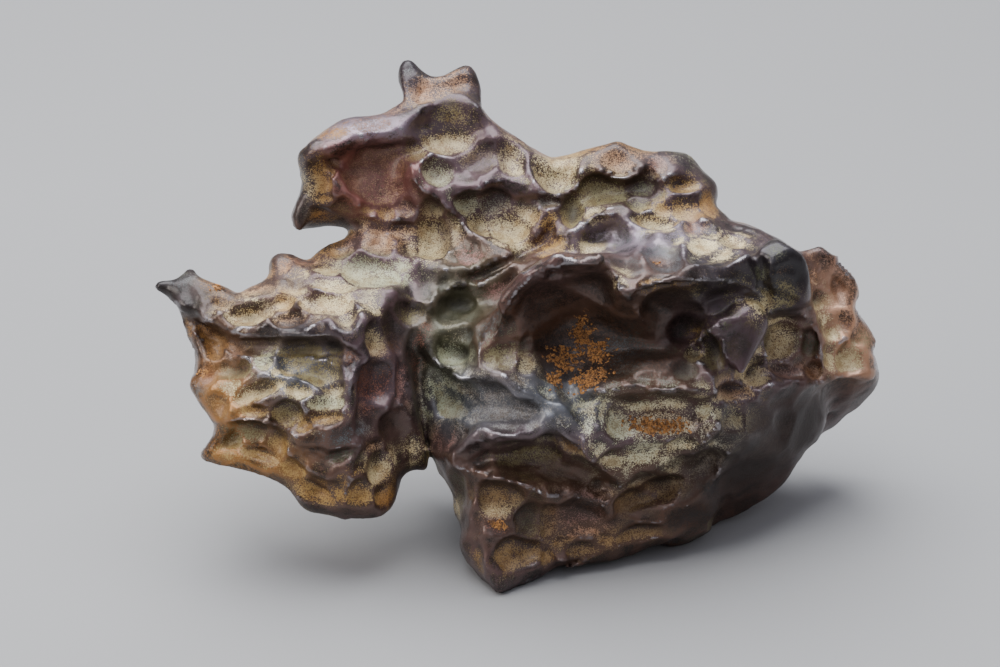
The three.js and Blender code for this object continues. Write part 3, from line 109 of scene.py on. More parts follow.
# ---------------------------------------------------------------- drawing of the front

# All x, y below are squares of the drawing sheet, x to the right and y downwards.
# Depths are millimetres towards the viewer. A facing plane is [x, y, depth, slope to
# the right, slope upwards], and the softness that a mass joins the others with is its
# blend.

FRONT_OUTLINE = (
    "152,286 167,278 180,271 191,266 203,277 224,286 236,291 250,286 266,279 269,273 268,260 278,248 "
    "285,247 305,257 312,254 320,240 327,233 342,236 347,232 343,228 325,227 307,232 297,230 292,217 "
    "299,192 299,174 296,156 306,146 309,135 322,131 340,117 368,112 384,112 404,100 399,80 401,66 "
    "409,58 417,66 430,76 444,76 457,71 470,69 478,86 481,108 498,125 520,139 541,154 563,156 584,149 "
    "614,137 629,140 655,151 688,152 703,171 718,185 717,200 729,219 746,223 782,240 799,252 821,244 "
    "850,268 860,291 858,305 871,325 879,341 876,357 881,378 862,410 840,425 805,447 786,477 765,503 "
    "733,523 690,541 640,555 600,565 563,571 530,582 505,592 494,590 473,566 460,545 459,527 451,493 "
    "437,476 431,471 412,471 402,478 400,500 384,519 346,521 311,513 298,506 286,489 262,476 231,467 "
    "204,461 200,450 211,434 208,420 193,396 189,385 194,357 183,338 181,324 166,300 154,292"
)

MASSES = {
    "hidden back": {"edge": 22, "blend": 10,
     "outline": "462,270 540,205 640,190 730,215 800,262 836,340 822,420 790,484 700,556 600,580 "
                "500,572 450,520 442,430 440,340",
     "front": [[650, 380, 0, 0, 0.3]],
     "back": [[640, 400, -78, 0.1, 0.5], [640, 270, -54, 0.15, 1.4], [800, 380, -46, 0.95, 0.3],
              [480, 420, -58, -0.7, 0.3]]},
    "core": {"edge": 13, "blend": 7,
     "outline": "418,335 440,316 478,312 505,286 530,259 562,248 606,247 640,232 700,222 760,226 "
                "800,248 816,300 832,360 825,420 795,465 745,514 660,548 560,556 480,530 455,490 "
                "425,440 415,380",
     "front": [[600, 400, 50, 0.05, 0.28], [430, 400, 26, 0.75, 0.25], [770, 350, 28, -1, 0.3],
               [700, 445, 32, -0.45, 1.5], [590, 252, 56, 0, -1.9], [700, 252, 42, -0.35, -1.5]],
     "back": [[600, 400, -50, 0, 0.45]]},
    "shoulder": {"edge": 11, "blend": 7,
     "outline": "500,128 520,138 548,156 563,155 584,148 614,136 646,147 688,151 714,177 719,195 "
                "718,207 746,222 777,237 775,275 680,285 600,270 540,275 490,262 480,190",
     "front": [[620, 200, 14, 0, -0.25], [700, 230, 16, -0.45, -0.5]],
     "back": [[600, 200, -38, 0.1, 0.9], [700, 220, -36, 0.6, 0.5]]},
    "head": {"edge": 9, "blend": 6,
     "outline": "292,226 293,210 299,190 297,160 303,146 325,128 345,115 376,111 405,99 425,92 460,90 "
                "476,97 488,111 520,137 545,154 560,205 540,255 500,272 440,266 400,246 366,236 "
                "343,228 312,231 300,231",
     "front": [[380, 180, 22, 0.05, 0.55], [400, 127, 27, 0.05, -1.7], [480, 180, 18, -0.15, -0.25]],
     "back": [[400, 170, -30, 0, 0.45], [310, 170, -18, -0.6, 0.3]]},
    "neck": {"edge": 14, "blend": 8,
     "outline": "345,235 380,222 420,215 480,215 520,240 515,290 480,325 430,345 395,330 365,290 "
                "340,262",
     "front": [[430, 260, 20, 0, -0.45]],
     "back": [[430, 260, -30, 0, 0.4]]},
    "arm": {"edge": 8, "blend": 6,
     "outline": "152,286 158,281 191,265 200,273 217,280 236,290 250,285 266,277 268,256 280,246 "
                "306,256 322,235 345,232 380,245 405,280 425,330 420,380 424,430 431,472 412,473 "
                "402,480 399,507 386,519 362,521 346,522 325,516 303,510 286,490 262,477 231,468 "
                "206,463 199,453 211,432 209,420 190,391 188,380 194,360 182,335 167,303",
     "front": [[300, 390, 48, 0.22, 0.3], [300, 300, 38, 0.15, -1.35], [345, 400, 52, -1, 0.2],
               [190, 300, 22, 0.5, -0.2], [300, 490, 40, 0.1, 1.1]],
     "back": [[300, 360, -14, -0.1, 0.35], [200, 330, 4, -0.5, 0.2], [330, 480, -2, 0.1, -1]]},
    "foot": {"edge": 7, "blend": 6,
     "outline": "448,440 600,430 720,440 712,533 675,545 640,556 612,563 585,568 563,571 538,580 "
                "512,590 499,594 490,585 473,566 460,547 459,527 454,500",
     "front": [[520, 500, 38, -0.38, 0.42], [475, 520, 30, 0.9, 0.4]],
     "back": [[560, 500, -45, 0, 0.2]]},
    "right end": {"edge": 10, "blend": 7,
     "outline": "740,235 777,238 799,252 822,243 834,254 856,274 861,291 858,305 872,325 880,341 "
                "877,352 882,378 868,403 840,426 813,442 796,460 775,492 750,511 720,500 715,400 "
                "725,300",
     "front": [[790, 300, 14, -0.5, 0], [850, 378, -8, -0.6, 1.8], [730, 420, 28, -0.75, 1.5]],
     "back": [[800, 350, -56, 0.3, 0.4], [860, 350, -50, 0.8, 0.3]]},
    "lip": {"edge": 5, "blend": 5,
     "outline": "690,264 718,262 740,256 752,252 768,282 752,300 728,292 700,282",
     "front": [[725, 272, 44, 0, 0.6]],
     "back": [[725, 272, 10, 0, 0.4]]},
    "flap": {"edge": 5, "blend": 5,
     "outline": "479,337 505,296 522,279 545,263 560,255 580,260 608,252 616,272 634,296 600,318 "
                "560,322 520,330",
     "front": [[560, 290, 60, 0.15, 0.9], [500, 320, 48, 0.7, 0.3]],
     "back": [[560, 290, 22, 0, 0.9]]},
}

# Small masses that keep their own crisp shape: they join after the pits are cut.
LATE_MASSES = {
    "block": {"edge": 2, "blend": 2, "facet": 1,
     "outline": "750,262 762,247 777,239 792,246 806,262 811,290 808,306 786,312 771,308 762,290",
     "front": [[772, 262, 46, 0.9, 0.1], [790, 262, 46, -0.9, 0.3], [782, 252, 45, 0.1, -1.3],
               [782, 292, 43, -0.2, 1.6], [790, 304, 40, -0.5, 0.2]],
     "back": [[778, 275, -10, 0, 0.4]]},
}

# Spurs: x, y, depth and radius at the root, and the same at the tip.
SPURS = [
    (214, 298, 14, 8, 160, 288, 15, 2.6),
    (190, 290, 13, 7, 191, 273, 10, 2.5),
    (408, 106, 2, 9, 408, 70, 0, 6),
    (420, 106, 0, 11, 424, 86, -2, 7),
    (440, 106, -2, 12, 444, 92, -2, 8),
    (458, 106, -4, 13, 460, 84, -4, 8),
    (470, 104, -6, 9, 470, 78, -6, 5),
    (300, 205, 6, 8, 297, 228, 10, 3),
    (742, 326, 36, 10, 741, 370, 42, 1.6),
]

# Hollows: depth, how far the slope reaches in from the rim, lean of the depth to the right and
# upwards, and outline.
HOLLOWS = {
    "main hollow": (24, 32, (0.15, 0.5),
        "490,345 500,325 512,302 530,280 552,268 590,266 610,262 622,290 640,302 690,300 716,318 "
        "722,350 716,385 690,390 650,386 608,394 600,425 587,440 560,420 540,402 522,386 505,372"),
    "gap over the flap": (9, 3.5, (0, 0),
        "462,276 484,266 504,258 524,248 543,232 550,222 556,230 550,243 534,254 512,264 492,274 "
        "474,284"),
    "green plate": (11, 14, (0, 1.1),
        "604,395 640,388 664,392 717,392 724,409 706,437 688,457 667,468 642,473 619,483 594,463 "
        "598,437"),
    "left plate": (10, 14, (-0.2, 1),
        "424,348 443,365 459,376 483,380 505,384 525,393 550,424 530,433 517,435 492,430 464,426 "
        "445,450 430,436 420,400"),
    "under the crest": (11, 9, (0, 0.4),
        "457,454 480,444 505,437 530,434 551,426 572,445 596,464 618,486 604,502 570,496 540,492 "
        "505,476 480,468 462,466"),
    "left centre": (12, 12, (0, -0.1),
        "436,296 462,286 490,288 502,302 490,318 480,337 474,372 450,370 430,352 426,325"),
    "under the lip": (12, 11, (0, 0.6),
        "636,292 690,280 735,284 758,300 738,316 708,332 684,354 660,340 642,318"),
    "right of tooth": (8, 10, (0, 0.3),
        "758,322 790,314 808,320 818,345 824,380 808,385 785,383 760,387 742,388 748,368 758,350"),
    "left of tooth": (8, 9, (0, 0.2),
        "684,354 708,332 724,328 722,350 738,378 748,392 735,408 720,396 714,375 704,362"),
    "red hollow": (11, 15, (-0.1, 0.4),
        "318,152 335,150 359,136 388,134 404,130 414,150 414,172 424,192 415,215 380,218 356,200 "
        "336,182"),
    "head bowl": (6, 10, (0, 0.3),
        "438,195 470,184 512,184 536,196 538,235 524,255 500,245 484,238 464,226 450,207"),
    "head upper": (6, 13, (0, 0.3),
        "404,135 418,116 437,98 455,97 480,110 492,122 502,150 480,185 440,192 424,188 412,165"),
    "neck bowl": (5, 12, (0, 0.3),
        "405,215 424,194 440,202 452,212 466,236 470,268 430,268 402,266 392,240"),
    "olive bowl": (8, 13, (0, 0.2),
        "272,362 290,344 320,338 342,340 352,360 350,388 352,405 330,402 305,396 278,386"),
    "gold face": (5, 11, (0, 0.2),
        "188,345 182,312 205,318 227,325 240,345 252,372 275,386 262,394 240,388 222,384 198,392"),
    "under the arm crest": (12, 7, (0, 0.4),
        "172,303 190,316 214,326 238,335 262,336 285,338 312,337 335,340 352,348 356,358 340,366 "
        "320,358 290,357 262,355 238,354 220,344 200,335 178,318"),
    "arm right": (3, 10, (0, 0.3),
        "358,372 372,358 388,362 396,400 405,412 421,440 402,450 385,440 366,428 352,412"),
    "arm low": (4, 9, (0, 0.2),
        "196,430 240,420 280,430 288,452 305,466 335,477 345,500 318,506 290,488 262,473 232,463 "
        "204,458"),
    "arm roof": (4, 9, (0, -0.2),
        "212,290 245,292 284,280 300,296 312,325 285,330 266,322 252,331 227,324 205,312"),
    "arm roof right": (4, 8, (0, 0.2),
        "290,280 320,292 357,308 356,324 345,333 330,326 312,326 297,305"),
    "shoulder hollow": (7, 12, (0, 0.3),
        "572,182 590,168 625,172 645,164 662,176 666,196 650,208 626,213 600,212 580,222 562,232 "
        "556,205"),
    "shelf": (4, 9, (0, -0.2),
        "632,226 660,232 684,226 690,262 668,276 640,286 624,284 612,262 616,240"),
    "shelf right": (3, 8, (0, 0),
        "688,228 704,220 740,228 765,240 745,254 715,262 690,260"),
    "shelf left": (4, 8, (0, 0.2),
        "545,238 575,234 600,216 622,216 628,232 612,248 580,258 556,252 535,262 520,270 535,250"),
    "foot front": (5, 15, (0, 0.2),
        "470,485 505,478 543,494 590,500 610,512 610,538 560,572 512,588 494,584 484,548 476,520"),
    "foot right": (6, 11, (0, 0.3),
        "612,500 626,482 660,474 690,458 722,438 722,462 700,495 660,520 620,535"),
    "right end face": (5, 10, (-0.3, 0.2),
        "826,262 845,260 858,280 860,304 870,325 878,350 878,374 840,374 826,365 820,330 812,300"),
}

# Crests: height, reach to each side and line.
CRESTS = [
    (4, 9, "309,143 320,151 333,149 345,143 358,135 372,134 388,137 397,133 405,125 415,113 426,103 "
           "437,97 447,95 459,98 470,104 481,112"),
    (2.5, 7, "338,180 350,191 362,204 374,218"),
    (3, 7, "311,150 322,161 333,174 337,190 330,207"),
    (3.5, 8, "412,172 418,182 425,191 437,197 445,203 453,214 462,228 471,232 483,238 493,246 502,262"),
    (3, 8, "452,192 464,187 478,186 498,183 512,185 530,190"),
    (2, 7, "424,160 436,157 450,157 462,150 478,141 496,137"),
    (3, 8, "362,226 378,243 393,243 404,254 416,263 432,267 455,268 474,273"),
    (2.5, 7, "442,200 447,222 452,244 457,262"),
    (3, 7, "532,158 534,177 544,184 553,187 562,192 572,188 580,176 590,155"),
    (2.5, 7, "603,160 609,171 620,177 631,172 642,166 652,170 664,178 674,171 690,160"),
    (4, 8, "560,240 575,233 586,222 598,213 610,208 621,207 628,216 631,223 645,229 661,231 675,229 "
           "684,219 691,213 701,217 712,223 725,226"),
    (2, 6, "655,194 670,193 690,195 703,190"),
    (3, 7, "641,232 643,250 641,275"),
    (3, 7, "684,232 682,250 684,262 690,278"),
    (2.5, 7, "684,262 696,263 712,261 724,255 738,250"),
    (4.5, 9, "479,337 491,315 506,296 522,279 540,267 560,257 580,260 596,261 608,254 612,268 617,281 "
             "625,291 636,296"),
    (3.5, 8, "637,284 655,280 670,279 682,277 694,268 720,267 738,262 750,254"),
    (3.5, 7, "166,298 176,301 191,306 205,315 214,317 221,313 229,320 241,326 252,330 262,325 271,322 "
             "281,330 298,332 312,326 321,323 336,328 346,333 357,340"),
    (3, 7, "281,279 292,281 306,285 326,288 345,297 358,304 368,306"),
    (2.5, 6, "283,281 291,295 297,304 305,313 311,326"),
    (3, 7, "312,272 326,269 341,275 353,283 363,293 371,305"),
    (2.5, 6, "392,258 398,275 397,297"),
    (4.5, 8, "369,305 361,320 357,331 361,346 369,356 360,366 352,380 350,395 353,408 345,425 335,432 "
             "320,440 305,440 292,438 287,446 291,456 301,464 313,470 326,476 340,478"),
    (2.5, 6, "221,342 232,358 242,370 250,375"),
    (2.5, 6, "232,384 250,376 263,378 280,377 301,380 320,383"),
    (2.5, 6, "240,402 262,398 285,398 300,401 305,411 325,412 342,411"),
    (2.5, 6, "228,402 236,418 262,421 270,424 276,432"),
    (3, 7, "357,372 370,362 384,360 392,372 395,395 386,407 370,414"),
    (3, 7, "406,366 412,395 417,420 421,440 428,455 439,465"),
    (3, 7, "393,398 404,410 416,425 421,440"),
    (2.5, 6, "372,437 360,447 352,462 345,480"),
    (2.5, 6, "371,470 362,478 350,485 346,498"),
    (3.5, 7, "426,345 432,354 443,364 458,374 468,378 484,378 503,378 514,388 525,394"),
    (2.5, 7, "440,300 446,292 455,285 462,280 470,270"),
    (4.5, 9, "450,462 458,452 468,445 480,430 492,430 506,434 518,436 532,434 545,426 552,425"),
    (3.5, 9, "552,425 562,430 574,443 582,449 594,463 606,474 618,481 630,477 644,471 665,467 680,459 "
             "690,452 702,440 716,432 725,420"),
    (3, 8, "520,360 535,373 552,392 566,408 588,424 600,437"),
    (3, 8, "622,352 645,360 665,361 680,358"),
    (1.5, 8, "625,385 650,390 676,389 700,387 716,392"),
    (2.5, 6, "600,440 612,440 640,443 665,441 690,438"),
    (3, 8, "505,476 525,484 543,494 563,497 590,499 605,506 610,520"),
    (2.5, 7, "615,500 622,484 640,478"),
    (3.5, 8, "740,430 733,445 724,465 712,478 700,490 686,498 668,506 650,518 632,522"),
    (3.5, 7, "488,528 490,545 493,560 497,574 499,590"),
    (3, 7, "471,482 474,500 472,512 462,545"),
    (2.5, 6, "535,540 538,552 534,566"),
    (2.5, 6, "560,542 562,556 560,568"),
    (3, 8, "762,330 768,318 780,314 800,311 810,309"),
    (2.5, 6, "765,345 770,356 785,358 798,355 800,335"),
    (3, 8, "805,262 810,290 812,310 818,330 822,350 826,378"),
    (3, 8, "820,246 834,258 848,264 857,278"),
    (4, 9, "757,386 775,382 792,380 808,386 826,380 845,376 865,376 880,379"),
    (3, 7, "840,310 846,325 843,342 838,348"),
    (3, 7, "705,330 716,322 728,316 740,314"),
    (2.5, 6, "690,345 698,338 704,345 706,370 716,384"),
]

# Pits: x, y, half width, half height, turn in degrees and colour of each, and its share of the
# full depth where that isn't the usual one.
PITS = {
    "head": (
        "335 132 13 6 20 ochre|372 122 20 7 12 rose|448 108 20 12 0 olive 0.5|"
        "446 141 24 12 8 cream 0.5|412 150 14 10 0 olive|418 126 20 9 -20 dark 0.45|"
        "437 173 14 12 0 verdigris|485 158 28 15 -10 plum 0.25|462 176 12 7 0 plum 0.45|"
        "490 124 10 12 30 brown 0.45|512 157 14 18 0 cream|466 202 14 14 0 verdigris 0.6|"
        "494 203 16 16 0 slate 0.6|508 226 22 14 -15 cream 0.6|480 224 16 9 -25 cream|"
        "432 206 10 13 0 moss|432 238 16 21 -10 cream 0.6|378 238 16 12 20 peach|402 230 14 9 0 peach|"
        "470 251 14 16 10 rose 0.4|378 174 36 32 20 red 0.3|405 206 9 10 0 rose|388 211 10 9 0 gold|"
        "370 210 10 8 0 gold|346 208 18 12 20 brown 0.4|318 178 12 17 0 gold|305 182 7 14 0 cream|"
        "322 198 10 7 0 gold|320 217 14 7 0 ochre|303 213 6 10 20 slate|322 247 13 10 -30 rose|"
        "370 270 24 15 -38 verdigris|352 240 9 8 0 rose|453 262 8 6 0 brown 0.45"
    ),
    "shoulder": (
        "554 170 22 16 0 cream|620 156 19 13 0 peach|656 160 13 10 0 rose|601 190 26 17 0 olive 0.4|"
        "643 186 20 12 0 moss 0.3|640 203 12 7 0 olive|683 182 17 8 0 gold|690 205 20 9 0 gold|"
        "664 206 11 8 0 gold|655 219 22 8 0 cream|590 212 17 9 28 cream|573 212 10 18 0 olive|"
        "549 232 11 19 0 gold 0.35|545 200 18 6 0 slate|620 240 15 12 0 slate 0.3|"
        "621 271 8 18 30 cream|660 256 20 18 0 slate 0.35|704 245 18 12 15 cream 0.5|"
        "733 238 12 9 15 cream|592 247 14 4 0 cream|705 178 9 12 0 dark 0.45|708 205 8 12 0 ochre"
    ),
    "right": (
        "757 307 12 10 0 cream|818 273 9 15 0 peach|845 286 13 20 0 peach|822 301 10 12 0 cream|"
        "833 331 9 10 0 cream|833 356 9 14 0 cream|851 358 15 14 0 cream|848 320 10 13 0 rose|"
        "868 336 9 12 30 olive|779 342 15 17 0 cream|786 368 16 8 0 rose|810 342 8 14 0 moss|"
        "816 371 9 10 0 peach|711 350 9 22 15 olive|694 351 8 11 0 cream|753 371 13 15 0 cream|"
        "734 391 20 10 0 peach|735 416 12 15 0 olive|690 335 9 6 0 gold|850 402 22 7 38 soot 0.3|"
        "810 424 26 14 32 soot 0.3|765 452 20 18 0 soot 0.3|790 393 24 8 10 soot 0.3|728 322 9 8 0 moss"
    ),
    "middle": (
        "444 283 10 10 0 moss|458 303 14 12 0 moss 0.5|453 353 18 10 0 verdigris|463 334 10 11 0 slate|"
        "499 348 17 18 0 olive 0.7|530 364 11 8 -35 cream|548 388 13 6 -40 verdigris|"
        "431 388 9 17 0 verdigris 0.5|450 403 20 13 -15 verdigris 0.4|505 410 36 14 0 slate 0.25|"
        "441 436 11 15 0 rose 0.4|410 312 13 11 0 olive|396 298 9 10 0 dark 0.45|476 450 10 7 0 moss|"
        "468 435 18 7 0 brown 0.45|530 455 30 14 0 olive 0.4|566 446 13 8 0 ochre|"
        "562 470 26 11 0 brown 0.25|642 336 22 12 0 moss 0.25|548 300 46 24 -38 brown 0.15|"
        "600 345 62 34 0 dark 0.4|595 285 26 14 0 brown 0.45|590 400 15 6 0 verdigris|"
        "617 428 14 15 0 verdigris 0.3|640 452 22 12 0 verdigris 0.35|682 449 18 11 10 cream 0.35|"
        "664 421 28 12 0 peach 0.25|640 400 18 8 0 verdigris 0.25|700 405 15 10 0 verdigris 0.3|"
        "611 462 14 9 0 cream|660 288 20 5 0 gold|722 292 20 7 0 olive 0.4|690 310 16 8 0 brown 0.45|"
        "712 300 12 6 0 dark 0.45|500 288 22 8 25 rose"
    ),
    "foot": (
        "500 498 22 17 0 bronze|500 511 15 6 0 cream|497 526 16 8 0 red 0.45|530 520 13 18 0 moss|"
        "549 520 11 16 0 bronze|582 512 24 14 0 rose 0.5|586 529 14 6 0 peach|518 553 24 15 0 bronze|"
        "548 556 8 12 0 bronze|585 550 18 9 0 bronze|606 540 12 9 0 bronze|636 500 24 12 0 bronze 0.4|"
        "662 487 17 10 0 bronze|640 536 24 7 5 bronze|480 560 5 12 0 bronze|455 488 9 17 0 moss|"
        "474 520 8 18 0 brown 0.45|690 515 28 11 15 soot 0.3|718 492 16 16 0 soot 0.3|"
        "700 462 18 11 25 plum 0.45"
    ),
    "arm": (
        "213 284 12 6 -20 ochre|226 300 13 8 -20 ochre|250 310 22 14 10 cream 0.7|281 299 12 9 0 gold|"
        "290 318 17 9 0 peach|325 303 27 13 -12 cream 0.45|346 318 9 8 0 cream|250 287 18 6 0 peach|"
        "185 309 15 10 -40 moss|208 342 18 13 -20 ochre|231 351 8 12 -25 rose|204 372 11 12 0 rust|"
        "232 369 14 9 0 olive|200 325 12 7 0 ochre|196 388 8 10 0 slate|262 357 11 11 0 verdigris|"
        "274 370 9 7 0 cream|302 356 22 13 0 olive 0.6|322 372 22 15 -15 olive 0.5|"
        "290 368 10 7 0 cream|334 388 12 9 0 cream|325 402 19 8 0 verdigris|257 390 26 8 15 cream|"
        "296 391 14 9 0 cream|254 411 14 10 0 gold|285 414 15 14 0 olive|301 425 9 8 0 gold|"
        "326 418 17 7 0 gold|215 411 12 14 35 ochre|250 431 21 10 0 olive|276 441 12 14 0 gold|"
        "224 453 14 8 0 gold|257 455 20 10 -15 gold|294 469 15 10 -20 gold|311 492 22 10 -25 gold|"
        "337 487 9 12 20 gold|310 452 14 7 0 plum 0.45|350 432 22 9 30 slate 0.4|345 455 18 6 10 moss|"
        "373 378 17 22 0 red 0.5|375 341 9 19 25 cream|401 385 10 22 0 rose 0.35|"
        "394 429 18 15 0 brown 0.35|382 468 13 16 -30 cream|378 447 12 7 0 peach|416 448 7 14 0 cream|"
        "361 493 13 14 0 gold|388 493 10 14 0 ochre|350 512 18 5 0 brown 0.45|"
        "335 281 28 11 -15 cream 0.5|282 262 8 13 0 peach|300 262 10 5 0 rose|"
        "395 330 10 18 20 brown 0.45|352 360 8 14 0 rose"
    ),
    "details": (
        "425 92 14 9 -20 peach|455 83 12 9 0 peach|473 95 8 9 0 dark 0.45|409 67 5 7 0 slate|"
        "414 84 5 8 0 plum 0.45|778 252 13 8 0 moss 0.4|762 270 8 9 0 moss 0.4|"
        "787 273 12 7 0 brown 0.45|781 297 16 11 0 olive|800 280 7 12 0 black 0.45|168 285 8 5 0 steel|"
        "184 280 11 7 0 slate|182 292 12 5 0 black 0.45"
    ),
}

# Stains beside the pits: x, y, half width, half height and colour. The dark brown stains on the lower
# right face and under the overhangs are painted shade.
# The chalk and ash stains on the two plates are partly their pale patina and partly painted light: they
# are made paler so that plates in partial shade read as lit.
STAINS = (
    "655 432 46 34 chalk|655 404 46 9 cream|650 458 40 12 cream|496 402 48 22 ash|"
    "438 390 12 24 verdigris|455 325 22 30 moss|302 335 46 5 brown|188 300 24 12 black|"
    "305 322 8 16 plum|264 300 6 12 plum|366 260 18 7 moss|232 295 5 12 plum|283 326 30 4 plum|"
    "330 320 24 4 plum|300 283 18 4 plum|358 290 7 14 plum|312 294 5 9 plum|418 365 5 22 red|"
    "452 333 8 8 cream|425 340 6 14 red|545 468 30 8 brown|480 467 14 9 dark|620 345 16 16 slate|"
    "700 395 16 6 cream|540 300 20 8 dark|660 262 8 6 rust|445 222 5 22 plum|505 186 26 5 dark|"
    "300 205 8 22 black|345 145 26 5 dark|590 262 24 5 rose|612 222 12 16 plum|690 222 10 10 rose|"
    "640 475 14 6 plum|700 435 10 8 plum|725 430 8 12 plum|680 366 36 13 soot|742 346 12 22 soot|"
    "500 190 28 6 soot|448 103 16 5 soot|805 425 62 44 soot|748 470 48 40 soot|700 515 60 18 soot"
)

# Colour of the bare iron between the pits: x, y, half width, half height and colour. The pale mauve
# spots on the roof of the head and on the shelf are a painted sheen.
# The dark spots over the lower right face are painted shade.
IRON_SPOTS = (
    "430 120 60 40 plum|385 128 60 14 lilac|365 170 50 40 red|310 190 24 50 black|500 180 50 50 plum|"
    "610 170 60 40 brown|680 180 45 40 plum|640 240 60 24 lilac|740 250 50 30 plum|560 275 80 40 plum|"
    "600 300 60 40 brown|560 330 60 50 brown|470 300 50 50 moss|440 350 40 40 moss|480 400 60 36 slate|"
    "560 400 40 50 slate|650 370 60 30 brown|780 270 40 40 black|740 330 40 50 plum|"
    "800 340 50 50 russet|850 320 40 60 peach|800 420 80 50 dark|740 470 80 60 dark|"
    "640 500 90 50 brown|540 470 70 40 brown|500 540 60 60 brown|560 440 80 24 plum|"
    "160 288 16 12 black|188 302 26 16 black|360 308 22 14 black|250 290 60 30 brown|"
    "320 270 60 30 plum|240 340 70 24 brown|220 400 40 60 ochre|300 370 60 30 slate|"
    "300 430 70 40 brown|370 380 30 50 plum|390 430 30 40 brown|350 490 60 30 brown|"
    "250 460 60 24 ochre|400 270 40 40 plum|300 330 90 10 black|742 345 16 22 black|780 270 26 30 black"
)

# Loose orange rust: x, y, half width and half height.
RUST_SPOTS = (
    "583 334 16 24|564 358 22 17|600 350 18 17|590 378 27 18|556 380 15 12|655 425 42 14|658 262 5 4|"
    "500 524 12 8|203 371 8 6|215 286 10 5"
)

# Pits over the sides that face away: the direction they are cut from (right, up,
# towards the viewer), their spacing and their half widths.
SIDE_HOLLOWS = [{"from": (0, 0, -1), "spacing": 46, "half": (24, 34)}]
SIDE_PITS = [
    {"from": (0, 0, -1), "spacing": 23, "half": (10, 17)},
    {"from": (0, 1, -0.4), "spacing": 24, "half": (9, 16)},
    {"from": (0, -1, 0), "spacing": 24, "half": (9, 16)},
    {"from": (-1, 0, -0.2), "spacing": 22, "half": (8, 14)},
    {"from": (1, 0, -0.2), "spacing": 22, "half": (8, 14)},
]


# ---------------------------------------------------------------- small helpers

def on_sheet(x, y):
    """Millimetres to the right of the sheet's middle and above it."""
    return (x - SHEET_MIDDLE[0]) * SQUARE, (SHEET_MIDDLE[1] - y) * SQUARE


def drawn_rows(table):
    """The numbers and the words in each row of a table drawn on the sheet."""
    for row in table.split("|"):
        entries = row.split()
        words = [entry for entry in entries if entry.isalpha()]
        yield [float(entry) for entry in entries if entry not in words], words


def soft_min(a, b, k):
    """The smaller of two numbers, rounded over a width k where they are alike."""
    h = np.clip(0.5 + 0.5 * (b - a) / k, 0, 1)
    return b + (a - b) * h - k * h * (1 - h)


def soft_max(a, b, k):
    return -soft_min(-a, -b, k)


def smooth_step(low, high, x):
    """Goes smoothly from 0 to 1 as x goes from low to high."""
    t = np.clip((x - low) / (high - low), 0, 1)
    return t * t * (3 - 2 * t)


def random_from(seed):
    """Numbers from 0 to 1, the same ones for the same seed."""
    whole = 0xFFFFFFFF
    state = seed

    def draw():
        nonlocal state
        state = (state + 0x6D2B79F5) & whole
        t = ((state ^ (state >> 15)) * (1 | state)) & whole
        t = ((t + (t ^ (t >> 7)) * (61 | t)) & whole) ^ t
        return (t ^ (t >> 14)) / (whole + 1)

    return draw


def smooth_line(text, steps, closed):
    """A smooth line through the drawn points, in millimetres."""
    p = np.array([on_sheet(*map(float, pair.split(","))) for pair in text.split()])
    n = len(p)
    rows = []
    for i in range(n if closed else n - 1):
        at = [(i + s) % n if closed else min(max(i + s, 0), n - 1) for s in (-1, 0, 1, 2)]
        a, b, c, d = p[at]
        for s in range(steps):
            t = s / steps
            rows.append(0.5 * (2 * b + (c - a) * t + (2 * a - 5 * b + 4 * c - d) * t * t
                               + (3 * b - a - 3 * c + d) * t ** 3))
    if not closed:
        rows.append(p[-1])
    return np.array(rows)


def even_out(grid, passes):
    """Even out a grid of numbers in place, a few light passes along each of its directions."""
    for _ in range(passes):
        for q in range(grid.ndim):
            before, middle, after = ([slice(None)] * grid.ndim for _ in range(3))
            before[q], middle[q], after[q] = slice(0, -2), slice(1, -1), slice(2, None)
            grid[tuple(middle)] = (grid[tuple(before)] + 2 * grid[tuple(middle)]
                                   + grid[tuple(after)]) / 4


def blurred(grid, passes):
    """A copy of a grid, evened out."""
    out = grid.copy()
    even_out(out, passes)
    return out


def stand(u, v, w):
    """From the drawing to the standing piece: tilted back, with the perspective taken out."""
    scale = (VIEW_DISTANCE - w) / VIEW_DISTANCE
    y = scale * v * math.sin(LOOK_DOWN) - w * math.cos(LOOK_DOWN)
    z = scale * v * math.cos(LOOK_DOWN) + w * math.sin(LOOK_DOWN) + MIDDLE_HEIGHT
    return scale * u, y, z


def beside_line(p, q, *here):
    """Distance from each place to the straight stretch p to q, and how far along it lies."""
    d = [b - a for a, b in zip(p, q)]
    length = sum(x * x for x in d) + 1e-9
    t = np.clip(sum((h - a) * x for h, a, x in zip(here, p, d)) / length, 0, 1)
    return np.sqrt(sum((h - a - t * x) ** 2 for h, a, x in zip(here, p, d))), t


# ---------------------------------------------------------------- the field

